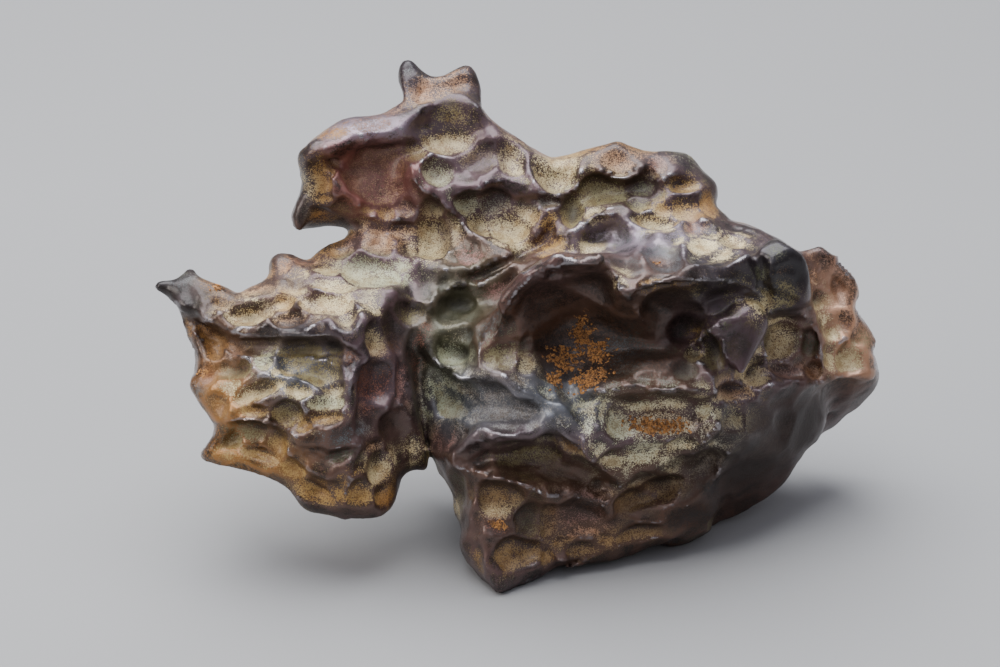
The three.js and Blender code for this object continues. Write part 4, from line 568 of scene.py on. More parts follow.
class Field:
    """The iron as numbers on a grid: negative inside it, positive outside."""

    def __init__(self, cell):
        self.cell = cell
        self.axes = [np.arange(low, high, cell, dtype=np.float32)
                     for low, high in zip(FIELD_LOW, FIELD_HIGH)]
        self.shape = tuple(len(a) for a in self.axes)
        self.value = np.full(self.shape, FAR_OUTSIDE, np.float32)
        self.cut = np.zeros(self.shape, np.float32)
        self.second_cut = np.zeros(self.shape, np.float32)
        self.spots = []
        self.flat = np.meshgrid(self.axes[0], self.axes[1], indexing="ij")

    def standing(self):
        """Where each grid point is on the standing piece."""
        u, v, w = np.meshgrid(*self.axes, indexing="ij", sparse=True)
        return [np.broadcast_to(a, self.shape) for a in stand(u, v, w)]

    def block(self, centre, reach):
        """The part of the grid in a box around a centre, and its coordinates."""
        slices = []
        for q in range(3):
            low = max(0, math.floor((centre[q] - reach[q] - FIELD_LOW[q]) / self.cell))
            high = min(self.shape[q], math.ceil((centre[q] + reach[q] - FIELD_LOW[q]) / self.cell) + 1)
            slices.append(slice(low, max(low, high)))
        u, v, w = (a[s] for a, s in zip(self.axes, slices))
        return tuple(slices), (u[:, None, None], v[None, :, None], w[None, None, :])

    def at(self, points, grid=None):
        """Grid values anywhere, by straight blending between grid points."""
        grid = self.value if grid is None else grid
        x = (np.asarray(points, np.float32) - np.array(FIELD_LOW, np.float32)) / self.cell
        base = np.clip(np.floor(x).astype(int), 0, np.array(self.shape) - 2)
        part = x - base
        total = np.zeros(len(x), np.float32)
        for corner in range(8):
            step = [(corner >> q) & 1 for q in range(3)]
            share = np.ones(len(x), np.float32)
            for q in range(3):
                share = share * (part[:, q] if step[q] else 1 - part[:, q])
            i, j, k = (base + step).T
            total += grid[i, j, k] * share
        return total

    def slope(self, points, reach):
        """Which way the field rises at each point."""
        steps = np.eye(3, dtype=np.float32) * reach
        rise = [self.at(points + s) - self.at(points - s) for s in steps]
        return np.stack(rise, 1) / (2 * reach)

    def normal_at(self, place):
        """Which way the skin faces at one point."""
        slope = self.slope(place[None], 3)[0]
        return slope / (np.linalg.norm(slope) + 1e-9)

    def outline_distance(self, line, margin):
        """Distance of each column to an outline, negative inside, and far past the margin."""
        distance = np.full(self.shape[:2], 1e3, np.float32)
        inside_box = [(a > line[:, q].min() - margin) & (a < line[:, q].max() + margin)
                      for q, a in enumerate(self.axes[:2])]
        rows, columns = (np.flatnonzero(b) for b in inside_box)
        box = np.ix_(rows, columns)
        u, v = self.flat[0][box], self.flat[1][box]
        nearest = np.full(u.shape, 1e9)
        inside = np.zeros(u.shape, bool)
        for (au, av), (bu, bv) in zip(line, np.roll(line, -1, 0)):
            far, _ = beside_line((au, av), (bu, bv), u, v)
            nearest = np.minimum(nearest, far)
            crossing = (bu - au) * (v - av) / (bv - av + 1e-12) + au
            inside ^= ((av > v) != (bv > v)) & (u < crossing)
        distance[box] = np.where(inside, -nearest, nearest)
        return distance

    def steepness(self, height, most):
        """How much longer the way along a map of heights is than the way across it."""
        du, dv = np.gradient(height, self.cell)
        return np.sqrt(1 + np.minimum(du * du + dv * dv, most))

    def column(self, u, v):
        """Numbers of the grid's column at a place of the drawing."""
        return (round((u - FIELD_LOW[0]) / self.cell), round((v - FIELD_LOW[1]) / self.cell))

    def facing(self, planes, blend, join):
        """Height of a few facing planes joined softly, and how steep it is."""
        height = None
        for x, y, depth, right, up in planes:
            u, v = on_sheet(x, y)
            plane = depth + right * (self.flat[0] - u) + up * (self.flat[1] - v)
            height = plane if height is None else join(height, plane, blend)
        return height, self.steepness(height, 9)

    def front_skin(self, missing):
        """Depth of the skin towards the viewer for each column."""
        turned = self.value[:, :, ::-1]
        inside = turned < 0
        first = np.clip(inside.argmax(2), 1, None)[:, :, None]
        here = np.take_along_axis(turned, first, 2)[:, :, 0]
        above = np.take_along_axis(turned, first - 1, 2)[:, :, 0]
        depth = self.axes[2][::-1][first[:, :, 0]] + self.cell * here / (here - above - 1e-9)
        return np.where(inside.any(2), depth, missing)

    def add_mass(self, mass):
        """Join one mass: its outline given thickness, with rounded edges."""
        edge = mass["edge"]
        line = smooth_line(mass["outline"], 4, True)
        side = self.outline_distance(line, edge + MASS_MARGIN) + SHRINK
        near, near_steep = self.facing(mass["front"], mass.get("facet", PLANE_BLEND), soft_min)
        far, far_steep = self.facing(mass["back"], PLANE_BLEND, soft_max)
        touched = side <= edge + MASS_MARGIN
        rows = slice(*np.flatnonzero(touched.any(1))[[0, -1]] + (0, 1))
        columns = slice(*np.flatnonzero(touched.any(0))[[0, -1]] + (0, 1))
        box = (rows, columns)
        w = self.axes[2][None, None, :]
        d = side[box][:, :, None] + edge
        a = (w - near[box][:, :, None]) / near_steep[box][:, :, None] + edge
        b = (far[box][:, :, None] - w) / far_steep[box][:, :, None] + edge
        rounded = np.sqrt(np.maximum(d, 0) ** 2 + np.maximum(a, 0) ** 2 + np.maximum(b, 0) ** 2)
        body = np.minimum(np.maximum(np.maximum(d, a), b), 0) + rounded - edge
        joined = soft_min(self.value[box], body, mass["blend"])
        self.value[box] = np.where(touched[box][:, :, None], joined, self.value[box])

    def add_spur(self, x0, y0, w0, r0, x1, y1, w1, r1):
        """Join one spur, a rounded cone from its root to its tip."""
        p = np.array([*on_sheet(x0, y0), w0])
        q = np.array([*on_sheet(x1, y1), w1])
        box, here = self.block((p + q) / 2, np.abs(p - q) / 2 + max(r0, r1) + 10)
        far, t = beside_line(p, q, *here)
        self.value[box] = soft_min(self.value[box], far - (r0 + (r1 - r0) * t), 4)

    def sink_hollow(self, depth, reach, lean, outline):
        """Lower the front skin inside an outline, steepest at the rim."""
        side = self.outline_distance(smooth_line(outline, 4, True), 0)
        inside = side < 0
        u, v = self.flat
        size = math.sqrt(inside.sum() * self.cell ** 2 / math.pi)
        right = (u - u[inside].mean()) / size
        up = (v - v[inside].mean()) / size
        leaning = np.clip(1 + lean[0] * right + lean[1] * up, 0.25, 1.8)
        bowl = 1 - (1 - np.clip(-side / reach, 0, 1)) ** 2
        skin = self.front_skin(-60)
        floor = skin - depth * leaning * bowl
        even_out(floor, round(10 / self.cell ** 2))
        floor = skin + (floor - skin) * self.soundness()
        above = (self.axes[2] - floor[inside][:, None]) / self.steepness(floor, 8)[inside][:, None]
        self.value[inside] = soft_max(self.value[inside], above, 1.2)

    def raise_crests(self, crests):
        """Raise each crest, sharp along its line and running out at its ends."""
        skin = self.front_skin(MISSING)
        raised = np.zeros(self.shape, np.float32)
        around = round(2.5 / self.cell)
        for height, reach, text in crests:
            line = []
            for u, v in smooth_line(text, 3, False):
                i, j = self.column(u, v)
                w = skin[i - around:i + around + 1, j - around:j + around + 1].max()
                if w > MISSING:
                    line.append((u, v, w))
            line = np.array(line)
            even_out(line[:, 2], 3)
            for s, (p, q) in enumerate(zip(line[:-1], line[1:])):
                fade = min(1, 0.3 + 0.28 * min(s + 0.5, len(line) - 1.5 - s))
                box, here = self.block((p + q) / 2, np.abs(p - q) / 2 + reach)
                far, _ = beside_line(p, q, *here)
                lift = height * fade * np.clip(1 - far / reach, 0, 1) ** CREST_SHARPNESS
                raised[box] = np.maximum(raised[box], lift)
        self.value -= raised

    def meet_skin(self, start, way, length):
        """First point of the skin met from outside, and which way the skin faces there."""
        steps = np.arange(0, length, self.cell / 2)
        path = np.asarray(start) + steps[:, None] * np.asarray(way)
        values = self.at(path)
        hits = np.flatnonzero(values < 0)
        if len(hits) == 0 or hits[0] == 0:
            return None
        n = hits[0]
        part = values[n - 1] / (values[n - 1] - values[n])
        hit = path[n - 1] + part * (path[n] - path[n - 1])
        return hit, self.normal_at(hit)

    def meet_front(self, x, y):
        """The point of the front skin that a place of the drawing sheet shows."""
        return self.meet_skin((*on_sheet(x, y), FIELD_HIGH[2] - 3), (0, 0, -1), 180)

    def scoop(self, place, across, upward, turn, deepest, colour):
        """Scoop one pit around a point of the skin into the depths to cut."""
        hit, normal = place
        depth = min(deepest, PIT_DEPTH * math.sqrt(across * upward) + 0.3)
        if colour:
            size = np.array((across, upward, max(across, upward))) / PIT_WIDER
            self.spots.append((hit, size, colour))
        first = np.array([math.cos(turn), math.sin(turn), 0])
        first -= normal * first.dot(normal)
        if np.linalg.norm(first) < 0.15:
            first = np.array([0, 1, 0]) - normal * normal[1]
        seen = np.linalg.norm(first)
        first /= seen
        second = np.cross(normal, first)
        a = across / max(0.6, min(seen, 1))
        b = upward / max(0.6, math.hypot(second[0], second[1]))
        c = max(2.2 * depth, 0.8 * min(a, b))
        box, here = self.block(hit, [max(a, b, c) * math.sqrt(1 + RIM / depth)] * 3)
        x, y, z = (h - m for h, m in zip(here, hit))
        far = sum(((x * n[0] + y * n[1] + z * n[2]) / size) ** 2
                  for n, size in ((first, a), (second, b), (normal, c)))
        dig = depth * (1 - far)
        deepest_yet = self.cut[box].copy()
        self.second_cut[box] = np.maximum(self.second_cut[box], np.minimum(deepest_yet, dig))
        self.cut[box] = np.maximum(deepest_yet, dig)

    def start_pits(self, rim):
        """Until a pit reaches it, the skin is to rise by the height of the rim."""
        self.cut[:] = -rim
        self.second_cut[:] = -rim

    def scoop_front_pits(self, groups):
        """The drawn pits of the named groups."""
        size = SQUARE * PIT_WIDER
        for group in groups:
            for (x, y, across, upward, turn, *share), (colour,) in drawn_rows(PITS[group]):
                place = self.meet_front(x, y)
                if place:
                    across, upward = across * size, upward * size
                    deepest = min(DEEPEST_PIT, PIT_DEPTH * math.sqrt(across * upward))
                    deepest = (share or [PIT_SHARE])[0] * deepest
                    self.scoop(place, across, upward, math.radians(turn), deepest, colour)

    def scoop_side_pits(self, sides, draw):
        """Pits on a loose grid over each side that faces away, clear of the drawn front."""
        skin = self.front_skin(MISSING)
        chance = random_from(COLOUR_SEED)
        for side in sides:
            way = -np.array(side["from"]) / np.linalg.norm(side["from"])
            end_on = abs(side["from"][0]) == 1
            across = np.array((0, 0, 1) if end_on else (1, 0, 0))
            upward = np.array((0, 1, 0) if end_on or abs(side["from"][1]) < 0.5 else (0, 0, 1))
            for row in range(-8, 9):
                for column in range(-8, 9):
                    x = (column + math.fmod(row, 2) / 2 + 0.5 * (draw() - 0.5)) * side["spacing"]
                    y = (row * 0.87 + 0.5 * (draw() - 0.5)) * side["spacing"]
                    low, high = side["half"]
                    a, b = low + (high - low) * draw(), 0.75 + 0.5 * draw()
                    turn = math.pi * draw()
                    place = self.meet_skin(across * x + upward * y - way * 190, way, 380)
                    if place and self.faces_away(place, way, skin, a):
                        colour = far_colour(place[0], chance())
                        self.scoop(place, a * b ** 0.5, a / b ** 0.5, turn, DEEPEST_SIDE_PIT, colour)

    def scoop_fill_pits(self):
        """Chance pits wherever the skin is still a plain field between the others."""
        draw = np.random.default_rng(FILL_SEED)
        plain = np.argwhere((np.abs(self.value) < self.cell / 2) & (self.cut < 0.15 - RIM))
        places = plain[draw.permutation(len(plain))] * self.cell + np.array(FIELD_LOW)
        smallest, largest = FILL_PITS
        while len(places):
            place = places[0]
            normal = self.normal_at(place)
            size = smallest + (largest - smallest) * draw.random() ** 1.6
            long = 0.85 + 0.45 * draw.random()
            turn = math.pi * draw.random()
            colour = far_colour(place, draw.random()) if normal[2] < 0.1 else None
            deepest = DEEPEST_PIT if colour else 0.4 * PIT_DEPTH * size
            self.scoop((place, normal), size * long, size / long, turn, deepest, colour)
            places = places[np.linalg.norm(places - place, axis=1) > 1.5 * size]

    def faces_away(self, place, way, skin, size):
        """True where a side pit is clear of the drawn front and of the rests."""
        hit, normal = place
        x, y, z = stand(*hit)
        beside, _ = beside_line(*REST_LINE, x, y)
        column = tuple(np.minimum(self.column(*hit[:2]), np.array(self.shape[:2]) - 1))
        drawn = skin[column] - hit[2] < 0.5 * size
        resting = z < 40 and beside < size + 5
        return -normal.dot(way) > 0.55 and not drawn and not resting

    def soundness(self):
        """How much of a cut each column of the grid can take: little where the piece is thin."""
        return 0.08 + 0.92 * smooth_step(1.5, SOUND_DEPTH, -self.value.min(2))

    def cut_pits(self, share):
        """Cut the pits that have been scooped, less deeply where the piece is thin."""
        share = share * self.soundness()
        self.value += np.where(self.cut > 0, self.cut * share[:, :, None], self.cut).astype(np.float32)

    def shape_underside(self):
        """Round the underside off the ground everywhere but at its rests."""
        x, y, z = self.standing()
        low = z < UNDERSIDE_HEIGHT + 12
        x, y, z = x[low], y[low], z[low]
        beside, t = beside_line(*REST_LINE, x, y)
        heel = np.hypot(x - REST_HEEL[0], y - REST_HEEL[1])
        front = beside ** 2 / UNDERSIDE_ROUND + 1.5 * np.sin(np.pi * t) ** 2
        lift = soft_min(soft_min(front, heel ** 2 / UNDERSIDE_ROUND, 2), UNDERSIDE_HEIGHT, 6)
        self.value[low] = soft_max(self.value[low], (lift - z) / 1.3, 2)

    def add_rest_knobs(self):
        """Low knobs under the piece, which the ground trims to small flat spots."""
        x, y, z = self.standing()
        low = z < 36
        x, y, z = x[low], y[low], z[low]
        value = self.value[low]
        for kx, ky, radius in REST_KNOBS:
            far = np.sqrt((x - kx) ** 2 + (y - ky) ** 2 + (0.6 * (z + REST_SINK - radius)) ** 2)
            value = np.where(far < radius + 16, soft_min(value, far - radius, 9), value)
        self.value[low] = value

    def trim_to_outline(self):
        """Cut off what the front view shows outside the drawn outline."""
        side = np.minimum(self.outline_distance(smooth_line(FRONT_OUTLINE, 2, True), 30), 30)
        past = side[:, :, None] - OUTLINE_SLACK
        self.value = soft_max(self.value, past, OUTLINE_ROUND).astype(np.float32)

    def trim_to_ground(self):
        """Cut off what would be under the ground."""
        self.value = np.maximum(self.value, -self.standing()[2]).astype(np.float32)

    def open_pinches(self):
        """Fill the spots where two parts of the skin would touch along one edge."""
        for _ in range(6):
            changed = 0
            for r, s in ((0, 1), (1, 2), (0, 2)):
                ends = []
                for dr, ds in ((0, 0), (1, 0), (0, 1), (1, 1)):
                    part = [slice(None)] * 3
                    part[r] = slice(dr, self.shape[r] - 1 + dr)
                    part[s] = slice(ds, self.shape[s] - 1 + ds)
                    ends.append(self.value[tuple(part)])
                a, b, c, d = (e < 0 for e in ends)
                for pinched, outer in (((a & d & ~b & ~c), ends[1]), ((b & c & ~a & ~d), ends[0])):
                    outer[pinched] = -0.02
                    changed += pinched.sum()
            if changed == 0:
                break


# ---------------------------------------------------------------- skin as quads

def largest_part(points, quads):
    """The points and quads of the largest connected part of a mesh."""
    part = np.arange(len(points))
    while True:
        low = part[quads].min(1)
        before = part.copy()
        np.minimum.at(part, quads.ravel(), np.repeat(low, 4))
        part = part[part]
        if (part == before).all():
            break
    kept = part == np.bincount(part).argmax()
    number = np.cumsum(kept) - 1
    return points[kept], number[quads[kept[quads[:, 0]]]]


def take_skin(field):
    """One vertex in each cell that the skin crosses, and a quad around each crossed edge."""
    value = field.value
    inside = value < 0
    corners = [(c & 1, (c >> 1) & 1, (c >> 2) & 1) for c in range(8)]
    cells = tuple(n - 1 for n in field.shape)
    full = sum(inside[i:i + cells[0], j:j + cells[1], k:k + cells[2]].astype(np.int8)
               for i, j, k in corners)
    crossed = np.argwhere((full > 0) & (full < 8))
    number = np.full(cells, -1)
    number[tuple(crossed.T)] = np.arange(len(crossed))
    known = [value[tuple((crossed + c).T)] for c in corners]
    total = np.zeros((len(crossed), 3))
    count = np.zeros(len(crossed))
    for a in range(8):
        for q in range(3):
            b = a | (1 << q)
            if b == a:
                continue
            meets = (known[a] < 0) != (known[b] < 0)
            t = np.where(meets, known[a] / np.where(meets, known[a] - known[b], 1), 0)
            place = np.array(corners[a]) + t[:, None] * np.eye(3)[q]
            total += np.where(meets[:, None], place, 0)
            count += meets
    points = (crossed + total / count[:, None]) * field.cell + np.array(FIELD_LOW)
    quads = []
    for q in range(3):
        step = [0, 0, 0]
        step[q] = 1
        here = inside[:cells[0], :cells[1], :cells[2]]
        there = inside[tuple(slice(s, s + n) for s, n in zip(step, cells))]
        edges = np.argwhere(here != there)
        r, s = (q + 1) % 3, (q + 2) % 3
        edges = edges[(edges[:, r] > 0) & (edges[:, s] > 0)]
        out = here[tuple(edges.T)]
        ring = []
        for dr, ds in ((0, 0), (-1, 0), (-1, -1), (0, -1)):
            cell = edges.copy()
            cell[:, r] += dr
            cell[:, s] += ds
            ring.append(number[tuple(cell.T)])
        ring = np.stack(ring, 1)
        quads.append(np.where(out[:, None], ring, ring[:, ::-1]))
    return largest_part(points, np.concatenate(quads))


# ---------------------------------------------------------------- colours

COLOURS = {
    # The pale mauve on the line below is a painted sheen, standing for the sky's reflection on roofs
    # that face up.
    "plum": "#513f42", "lilac": "#857a84", "brown": "#4f3a2d", "black": "#1d1b1e", "slate": "#5c6064",
    # The dark brown for faces in shadow, on the line below, is painted shade.
    "russet": "#52392c", "soot": "#38261e", "ash": "#a8a19c", "bronze": "#94764a", "red": "#8a5345",
    "moss": "#4c4d3a", "dark": "#2a201c", "olive": "#857a52", "verdigris": "#b9bc9c",
    # The pale ash and chalk in this table are partly painted light, made paler so that plates in
    # partial shade read as lit.
    "chalk": "#dad9bc", "cream": "#dbc99a", "gold": "#ad8748", "ochre": "#986a30", "rust": "#9c6230",
    "rose": "#8f665e", "peach": "#b88c6a", "steel": "#a4acb8",
}
# How fully a patina of each colour covers the iron; the others cover it all.
PATINA_COVER = {
    "soot": 0.85, "bronze": 0.8, "ash": 0.8, "brown": 0.42, "dark": 0.12, "plum": 0.3, "steel": 0.1,
    "black": 0, "red": 0.5, "rose": 0.55, "slate": 0.6, "moss": 0.6, "peach": 0.75, "olive": 0.8,
}
FAR_PATINA = (
    "slate", "moss", "verdigris", "olive", "cream", "gold", "ochre", "brown", "peach", "rose", "plum"
)
FAR_IRON = ("plum", "brown", "brown", "russet", "slate", "plum", "black")

# ---------------------------------------------------------------- ageing of the surface

def paint(code):
    """A colour's linear values from its usual six-digit code."""
    parts = [int(code[i:i + 2], 16) / 255 for i in (1, 3, 5)]
    return [p / 12.92 if p <= 0.04045 else ((p + 0.055) / 1.055) ** 2.4 for p in parts]


def grain(points, size, seed):
    """Soft random numbers from 0 to 1 that change over about the given size."""
    side = 64
    lattice = np.random.default_rng(seed).random((side, side, side), np.float32)
    x = points / size
    base = np.floor(x).astype(int)
    part = x - base
    part = part * part * (3 - 2 * part)
    total = np.zeros(len(x), np.float32)
    for corner in range(8):
        step = np.array([(corner >> q) & 1 for q in range(3)])
        share = np.where(step, part, 1 - part).prod(1)
        i, j, k = ((base + step) % side).T
        total += lattice[i, j, k] * share
    return total


def far_colour(place, chance):
    """A pit's colour off the drawn front, much like its neighbours' colours."""
    level = 0.5 + 1.7 * (grain(np.array([place]), 60, 3)[0] - 0.5) + 0.5 * (chance - 0.5)
    return FAR_PATINA[int(np.clip(level, 0, 0.999) * len(FAR_PATINA))]


def gather_spots(field, rows, palette):
    """Each drawn spot as a place on the skin, its half sizes and its colour."""
    spots = []
    for (x, y, across, upward), name in drawn_rows(rows):
        place = field.meet_front(x, y)
        if place:
            size = np.array((across, upward, max(across, upward))) * SQUARE
            spots.append((place[0], size, palette[name[0]] if name else (1, 1, 1, 1)))
    return spots


def spread_spots(points, spots, rest, reach):
    """Blends the spots' colours over the points, on top of a faint share of the rest colour."""
    total = np.full(len(points), 0.02)
    colour = 0.02 * np.ones((len(points), 1)) * np.array(rest)
    most = np.zeros(len(points))
    for place, size, tint in spots:
        near = np.flatnonzero((np.abs(points - place) < 2.6 * reach * size).all(1))
        far = (((points[near] - place) / (reach * size)) ** 2).sum(1)
        share = np.exp(-1.8 * far)
        colour[near] += share[:, None] * np.array(tint)
        total[near] += share
        most[near] = np.maximum(most[near], share)
    return colour / total[:, None], most


def far_side_spots(points, facing_away, names, palette, spacing, seed):
    """Spots of chance colours over what the drawing doesn't show."""
    draw = np.random.default_rng(seed)
    left = points[draw.permutation(np.flatnonzero(facing_away))[:6000]]
    spots = []
    while len(left):
        size = spacing * (0.7 + 0.6 * draw.random(3))
        spots.append((left[0], size, palette[names[draw.integers(len(names))]]))
        left = left[np.linalg.norm(left - left[0], axis=1) > spacing]
    return spots


# ---------------------------------------------------------------- node trees

class Tree:
    """Short ways to add and join the nodes of one tree."""

    def __init__(self, tree):
        self.tree = tree

    def add(self, kind, inputs=None, **settings):
        """A node with its settings made and its inputs set or linked."""
        node = self.tree.nodes.new(kind)
        for name, value in settings.items():
            setattr(node, name, value)
        for key, value in (inputs or {}).items():
            self.join(value, node.inputs[key])
        return node

    def join(self, value, socket):
        """Set an input to a value, or link it to another node's output."""
        if isinstance(value, bpy.types.NodeSocket):
            self.tree.links.new(value, socket)
        elif socket.type == "RGBA" and len(value) == 3:
            socket.default_value = (*value, 1)
        else:
            socket.default_value = value

    def sum(self, kind, a, b=0.0):
        """One step of arithmetic."""
        node = self.add("ShaderNodeMath", {0: a, 1: b}, operation=kind)
        return node.outputs[0]

    def total(self, first, *others):
        """All the numbers added up."""
        for other in others:
            first = self.sum("ADD", first, other)
        return first

    def swing(self, noise, most):
        """Soft noise as a number that swings about nought."""
        return self.sum("MULTIPLY", self.sum("SUBTRACT", noise, 0.5), most)

    def band(self, value, low, high, to_low=0.0, to_high=1.0):
        """Goes smoothly from one number to another as the value passes a band."""
        node = self.add("ShaderNodeMapRange", {"Value": value, "From Min": low, "From Max": high,
                                               "To Min": to_low, "To Max": to_high},
                        interpolation_type="SMOOTHSTEP")
        return node.outputs["Result"]

    def blend(self, factor, a, b, kind="MIX"):
        """A colour between two colours, or another mix of them."""
        node = self.add("ShaderNodeMix", {0: factor, 6: a, 7: b}, data_type="RGBA", blend_type=kind)
        return node.outputs[2]

    def between(self, factor, a, b):
        """A number between two numbers."""
        return self.add("ShaderNodeMix", {0: factor, 2: a, 3: b}).outputs[0]

    def noise(self, where, size, detail=2.0, rough=0.5, twist=0.0):
        """Soft noise whose features are about the given size in metres."""
        node = self.add("ShaderNodeTexNoise", {"Vector": where, "Scale": 1 / size, "Detail": detail,
                                               "Roughness": rough, "Distortion": twist})
        return node.outputs[0]

    def group(self, tree, **inputs):
        """What comes out of a shader node group."""
        return self.add("ShaderNodeGroup", inputs, node_tree=tree).outputs


def new_group(name, inputs, outputs):
    """An empty shader node group with named numbers or vectors going in and numbers coming out."""
    group = bpy.data.node_groups.new(name, "ShaderNodeTree")
    for label, default in inputs.items():
        kind = "NodeSocketVector" if default is None else "NodeSocketFloat"
        socket = group.interface.new_socket(label, in_out="INPUT", socket_type=kind)
        if default is not None:
            socket.default_value = default
    for label in outputs:
        group.interface.new_socket(label, in_out="OUTPUT", socket_type="NodeSocketFloat")
    tree = Tree(group)
    return group, tree, tree.add("NodeGroupInput").outputs, tree.add("NodeGroupOutput")


def broken_edge():
    """Breaks the soft edge of a mask into small uneven tongues."""
    group, tree, given, result = new_group(
        "broken edge", {"Where": None, "Mask": 0.5, "Size": 0.003, "Break": 0.5, "Softness": 0.2},
        ["Mask"])
    scale = tree.sum("DIVIDE", 1.0, given["Size"])
    rough = tree.add("ShaderNodeTexNoise", {"Vector": given["Where"], "Scale": scale,
                                            "Detail": 4.0, "Roughness": 0.6}).outputs[0]
    push = tree.swing(rough, given["Break"])
    level = tree.sum("ADD", given["Mask"], push)
    half = tree.sum("MULTIPLY", given["Softness"], 0.5)
    low, high = tree.sum("SUBTRACT", 0.5, half), tree.sum("ADD", 0.5, half)
    tree.join(tree.band(level, low, high), result.inputs["Mask"])
    return group


def new_material(name):
    """A bare material: its tree, the place of each point and its surface shader."""
    material = bpy.data.materials.new(name)
    material.use_nodes = True
    material.node_tree.nodes.clear()
    tree = Tree(material.node_tree)
    where = tree.add("ShaderNodeTexCoord").outputs["Object"]
    surface = tree.add("ShaderNodeBsdfPrincipled")
    tree.add("ShaderNodeOutputMaterial", {"Surface": surface.outputs[0]})
    return material, tree, where, surface


def waxed_iron(finish, edge):
    """Dark waxed iron: bare, glossy and lighter with a painted sheen on its ridges, with stippled
    patina in its pits and painted shade in its hollows and on what faces down.
    """
    material, tree, where, surface = new_material("waxed_iron")
    bare = tree.add("ShaderNodeAttribute", attribute_name="bare")
    patina = tree.add("ShaderNodeAttribute", attribute_name="patina")
    age = tree.add("ShaderNodeAttribute", attribute_name="age")
    crest, grime, rust = tree.add("ShaderNodeSeparateColor", {0: age.outputs["Color"]}).outputs[:3]
    pit = age.outputs["Alpha"]
    patches = tree.noise(where, 0.011, 3.0, 0.55)
    mottle = tree.noise(where, 0.004, 4.0, 0.6)
    fine = tree.noise(where, 0.0014, 3.0, 0.65)
    stipple = tree.noise(where, 0.0005, 1.0, 0.6)

    lighter = tree.blend(1.0, bare.outputs["Color"], (1.25, 1.2, 1.2), "MULTIPLY")
    metal_colour = tree.blend(tree.band(mottle, 0.35, 0.7), bare.outputs["Color"], lighter)
    # Painted sheen: the bare iron is made lighter along the ridges, as if catching the light.
    ridge = tree.sum("MULTIPLY", bare.outputs["Alpha"], tree.band(patches, 0.3, 0.7, 0.3, 1.0))
    painted_sheen = tree.blend(1.0, bare.outputs["Color"], (1.35, 1.28, 1.36), "MULTIPLY")
    metal_colour = tree.blend(ridge, metal_colour, painted_sheen)
    dust = tree.total(tree.sum("MULTIPLY", pit, 0.55), tree.swing(stipple, 1.2), tree.swing(fine, 1.2))
    metal_colour = tree.blend(tree.band(dust, 0.2, 0.8), metal_colour, finish.grime)
    deeper = tree.blend(1.0, patina.outputs["Color"], (0.6, 0.5, 0.4), "MULTIPLY")
    paler = tree.band(tree.total(mottle, tree.swing(stipple, 0.8)), 0.35, 0.65)
    pale = tree.blend(paler, deeper, patina.outputs["Color"])
    level = tree.total(patina.outputs["Alpha"], tree.swing(stipple, 2.4), tree.swing(fine, 1.4),
                       tree.swing(patches, 1.4))
    cover = tree.band(level, 0.2, 0.85)
    colour = tree.blend(cover, metal_colour, pale)
    # Painted shade: darker where the skin lies in a broad hollow, faces down or lies under the dark
    # brown stains.
    painted_shade = tree.total(grime, tree.swing(fine, 0.8), tree.swing(stipple, 0.6))
    colour = tree.blend(tree.band(painted_shade, 0.2, 1.1, 0.0, 0.8), colour, finish.grime)

    rust_level = tree.total(rust, tree.swing(fine, 2.4), tree.swing(mottle, 3.0), -0.22)
    rust_cover = tree.sum("MULTIPLY", tree.band(rust_level, 0.4, 0.54), tree.band(rust, 0.03, 0.2))
    rust_colour = tree.blend(tree.band(tree.total(fine, tree.swing(stipple, 1.0)), 0.36, 0.64),
                             finish.dark_rust, finish.rust)
    colour = tree.blend(rust_cover, colour, rust_colour)
    worn = tree.group(edge, Where=where, Mask=crest, Size=0.002, Break=0.9, Softness=0.5)["Mask"]
    worn = tree.sum("MULTIPLY", worn, tree.band(patches, 0.42, 0.62, 0.12, 0.7))
    colour = tree.blend(worn, colour, finish.steel)
    tree.join(colour, surface.inputs["Base Color"])

    rough = tree.between(cover, tree.band(mottle, 0.3, 0.7, 0.28, 0.4),
                         tree.band(fine, 0.3, 0.7, 0.45, 0.65))
    rough = tree.between(tree.band(grime, 0.1, 0.6), rough, 0.55)
    rough = tree.between(rust_cover, rough, 0.85)
    tree.join(tree.between(worn, rough, 0.2), surface.inputs["Roughness"])
    metal = tree.between(rust_cover, tree.between(cover, 0.5, 0.15), 0.0)
    tree.join(tree.between(worn, metal, 0.9), surface.inputs["Metallic"])
    wax = tree.between(rust_cover, tree.between(cover, 0.3, 0.2), 0.0)
    wax = tree.sum("MULTIPLY", wax, tree.band(grime, 0.1, 0.6, 1.0, 0.15))
    tree.join(wax, surface.inputs["Coat Weight"])
    surface.inputs["Coat Roughness"].default_value = finish.wax_roughness

    crumbs = tree.sum("MULTIPLY", tree.sum("MULTIPLY", fine, rust_cover), 2.2)
    grit = tree.sum("MULTIPLY", cover, 0.3)
    height = tree.total(crumbs, grit, tree.sum("MULTIPLY", fine, 0.5))
    bump = tree.add("ShaderNodeBump", {"Height": height, "Distance": 0.0004, "Strength": 0.6})
    tree.join(bump.outputs[0], surface.inputs["Normal"])
    return material


def loose_rust(finish):
    """Dry orange rust, lighter and darker from crumb to crumb."""
    material, tree, where, surface = new_material("loose_rust")
    level = tree.noise(where, 0.0012, 2.0, 0.7)
    colour = tree.blend(tree.band(level, 0.38, 0.62), finish.dark_rust, finish.rust)
    tree.join(colour, surface.inputs["Base Color"])
    surface.inputs["Roughness"].default_value = 0.85
    return material


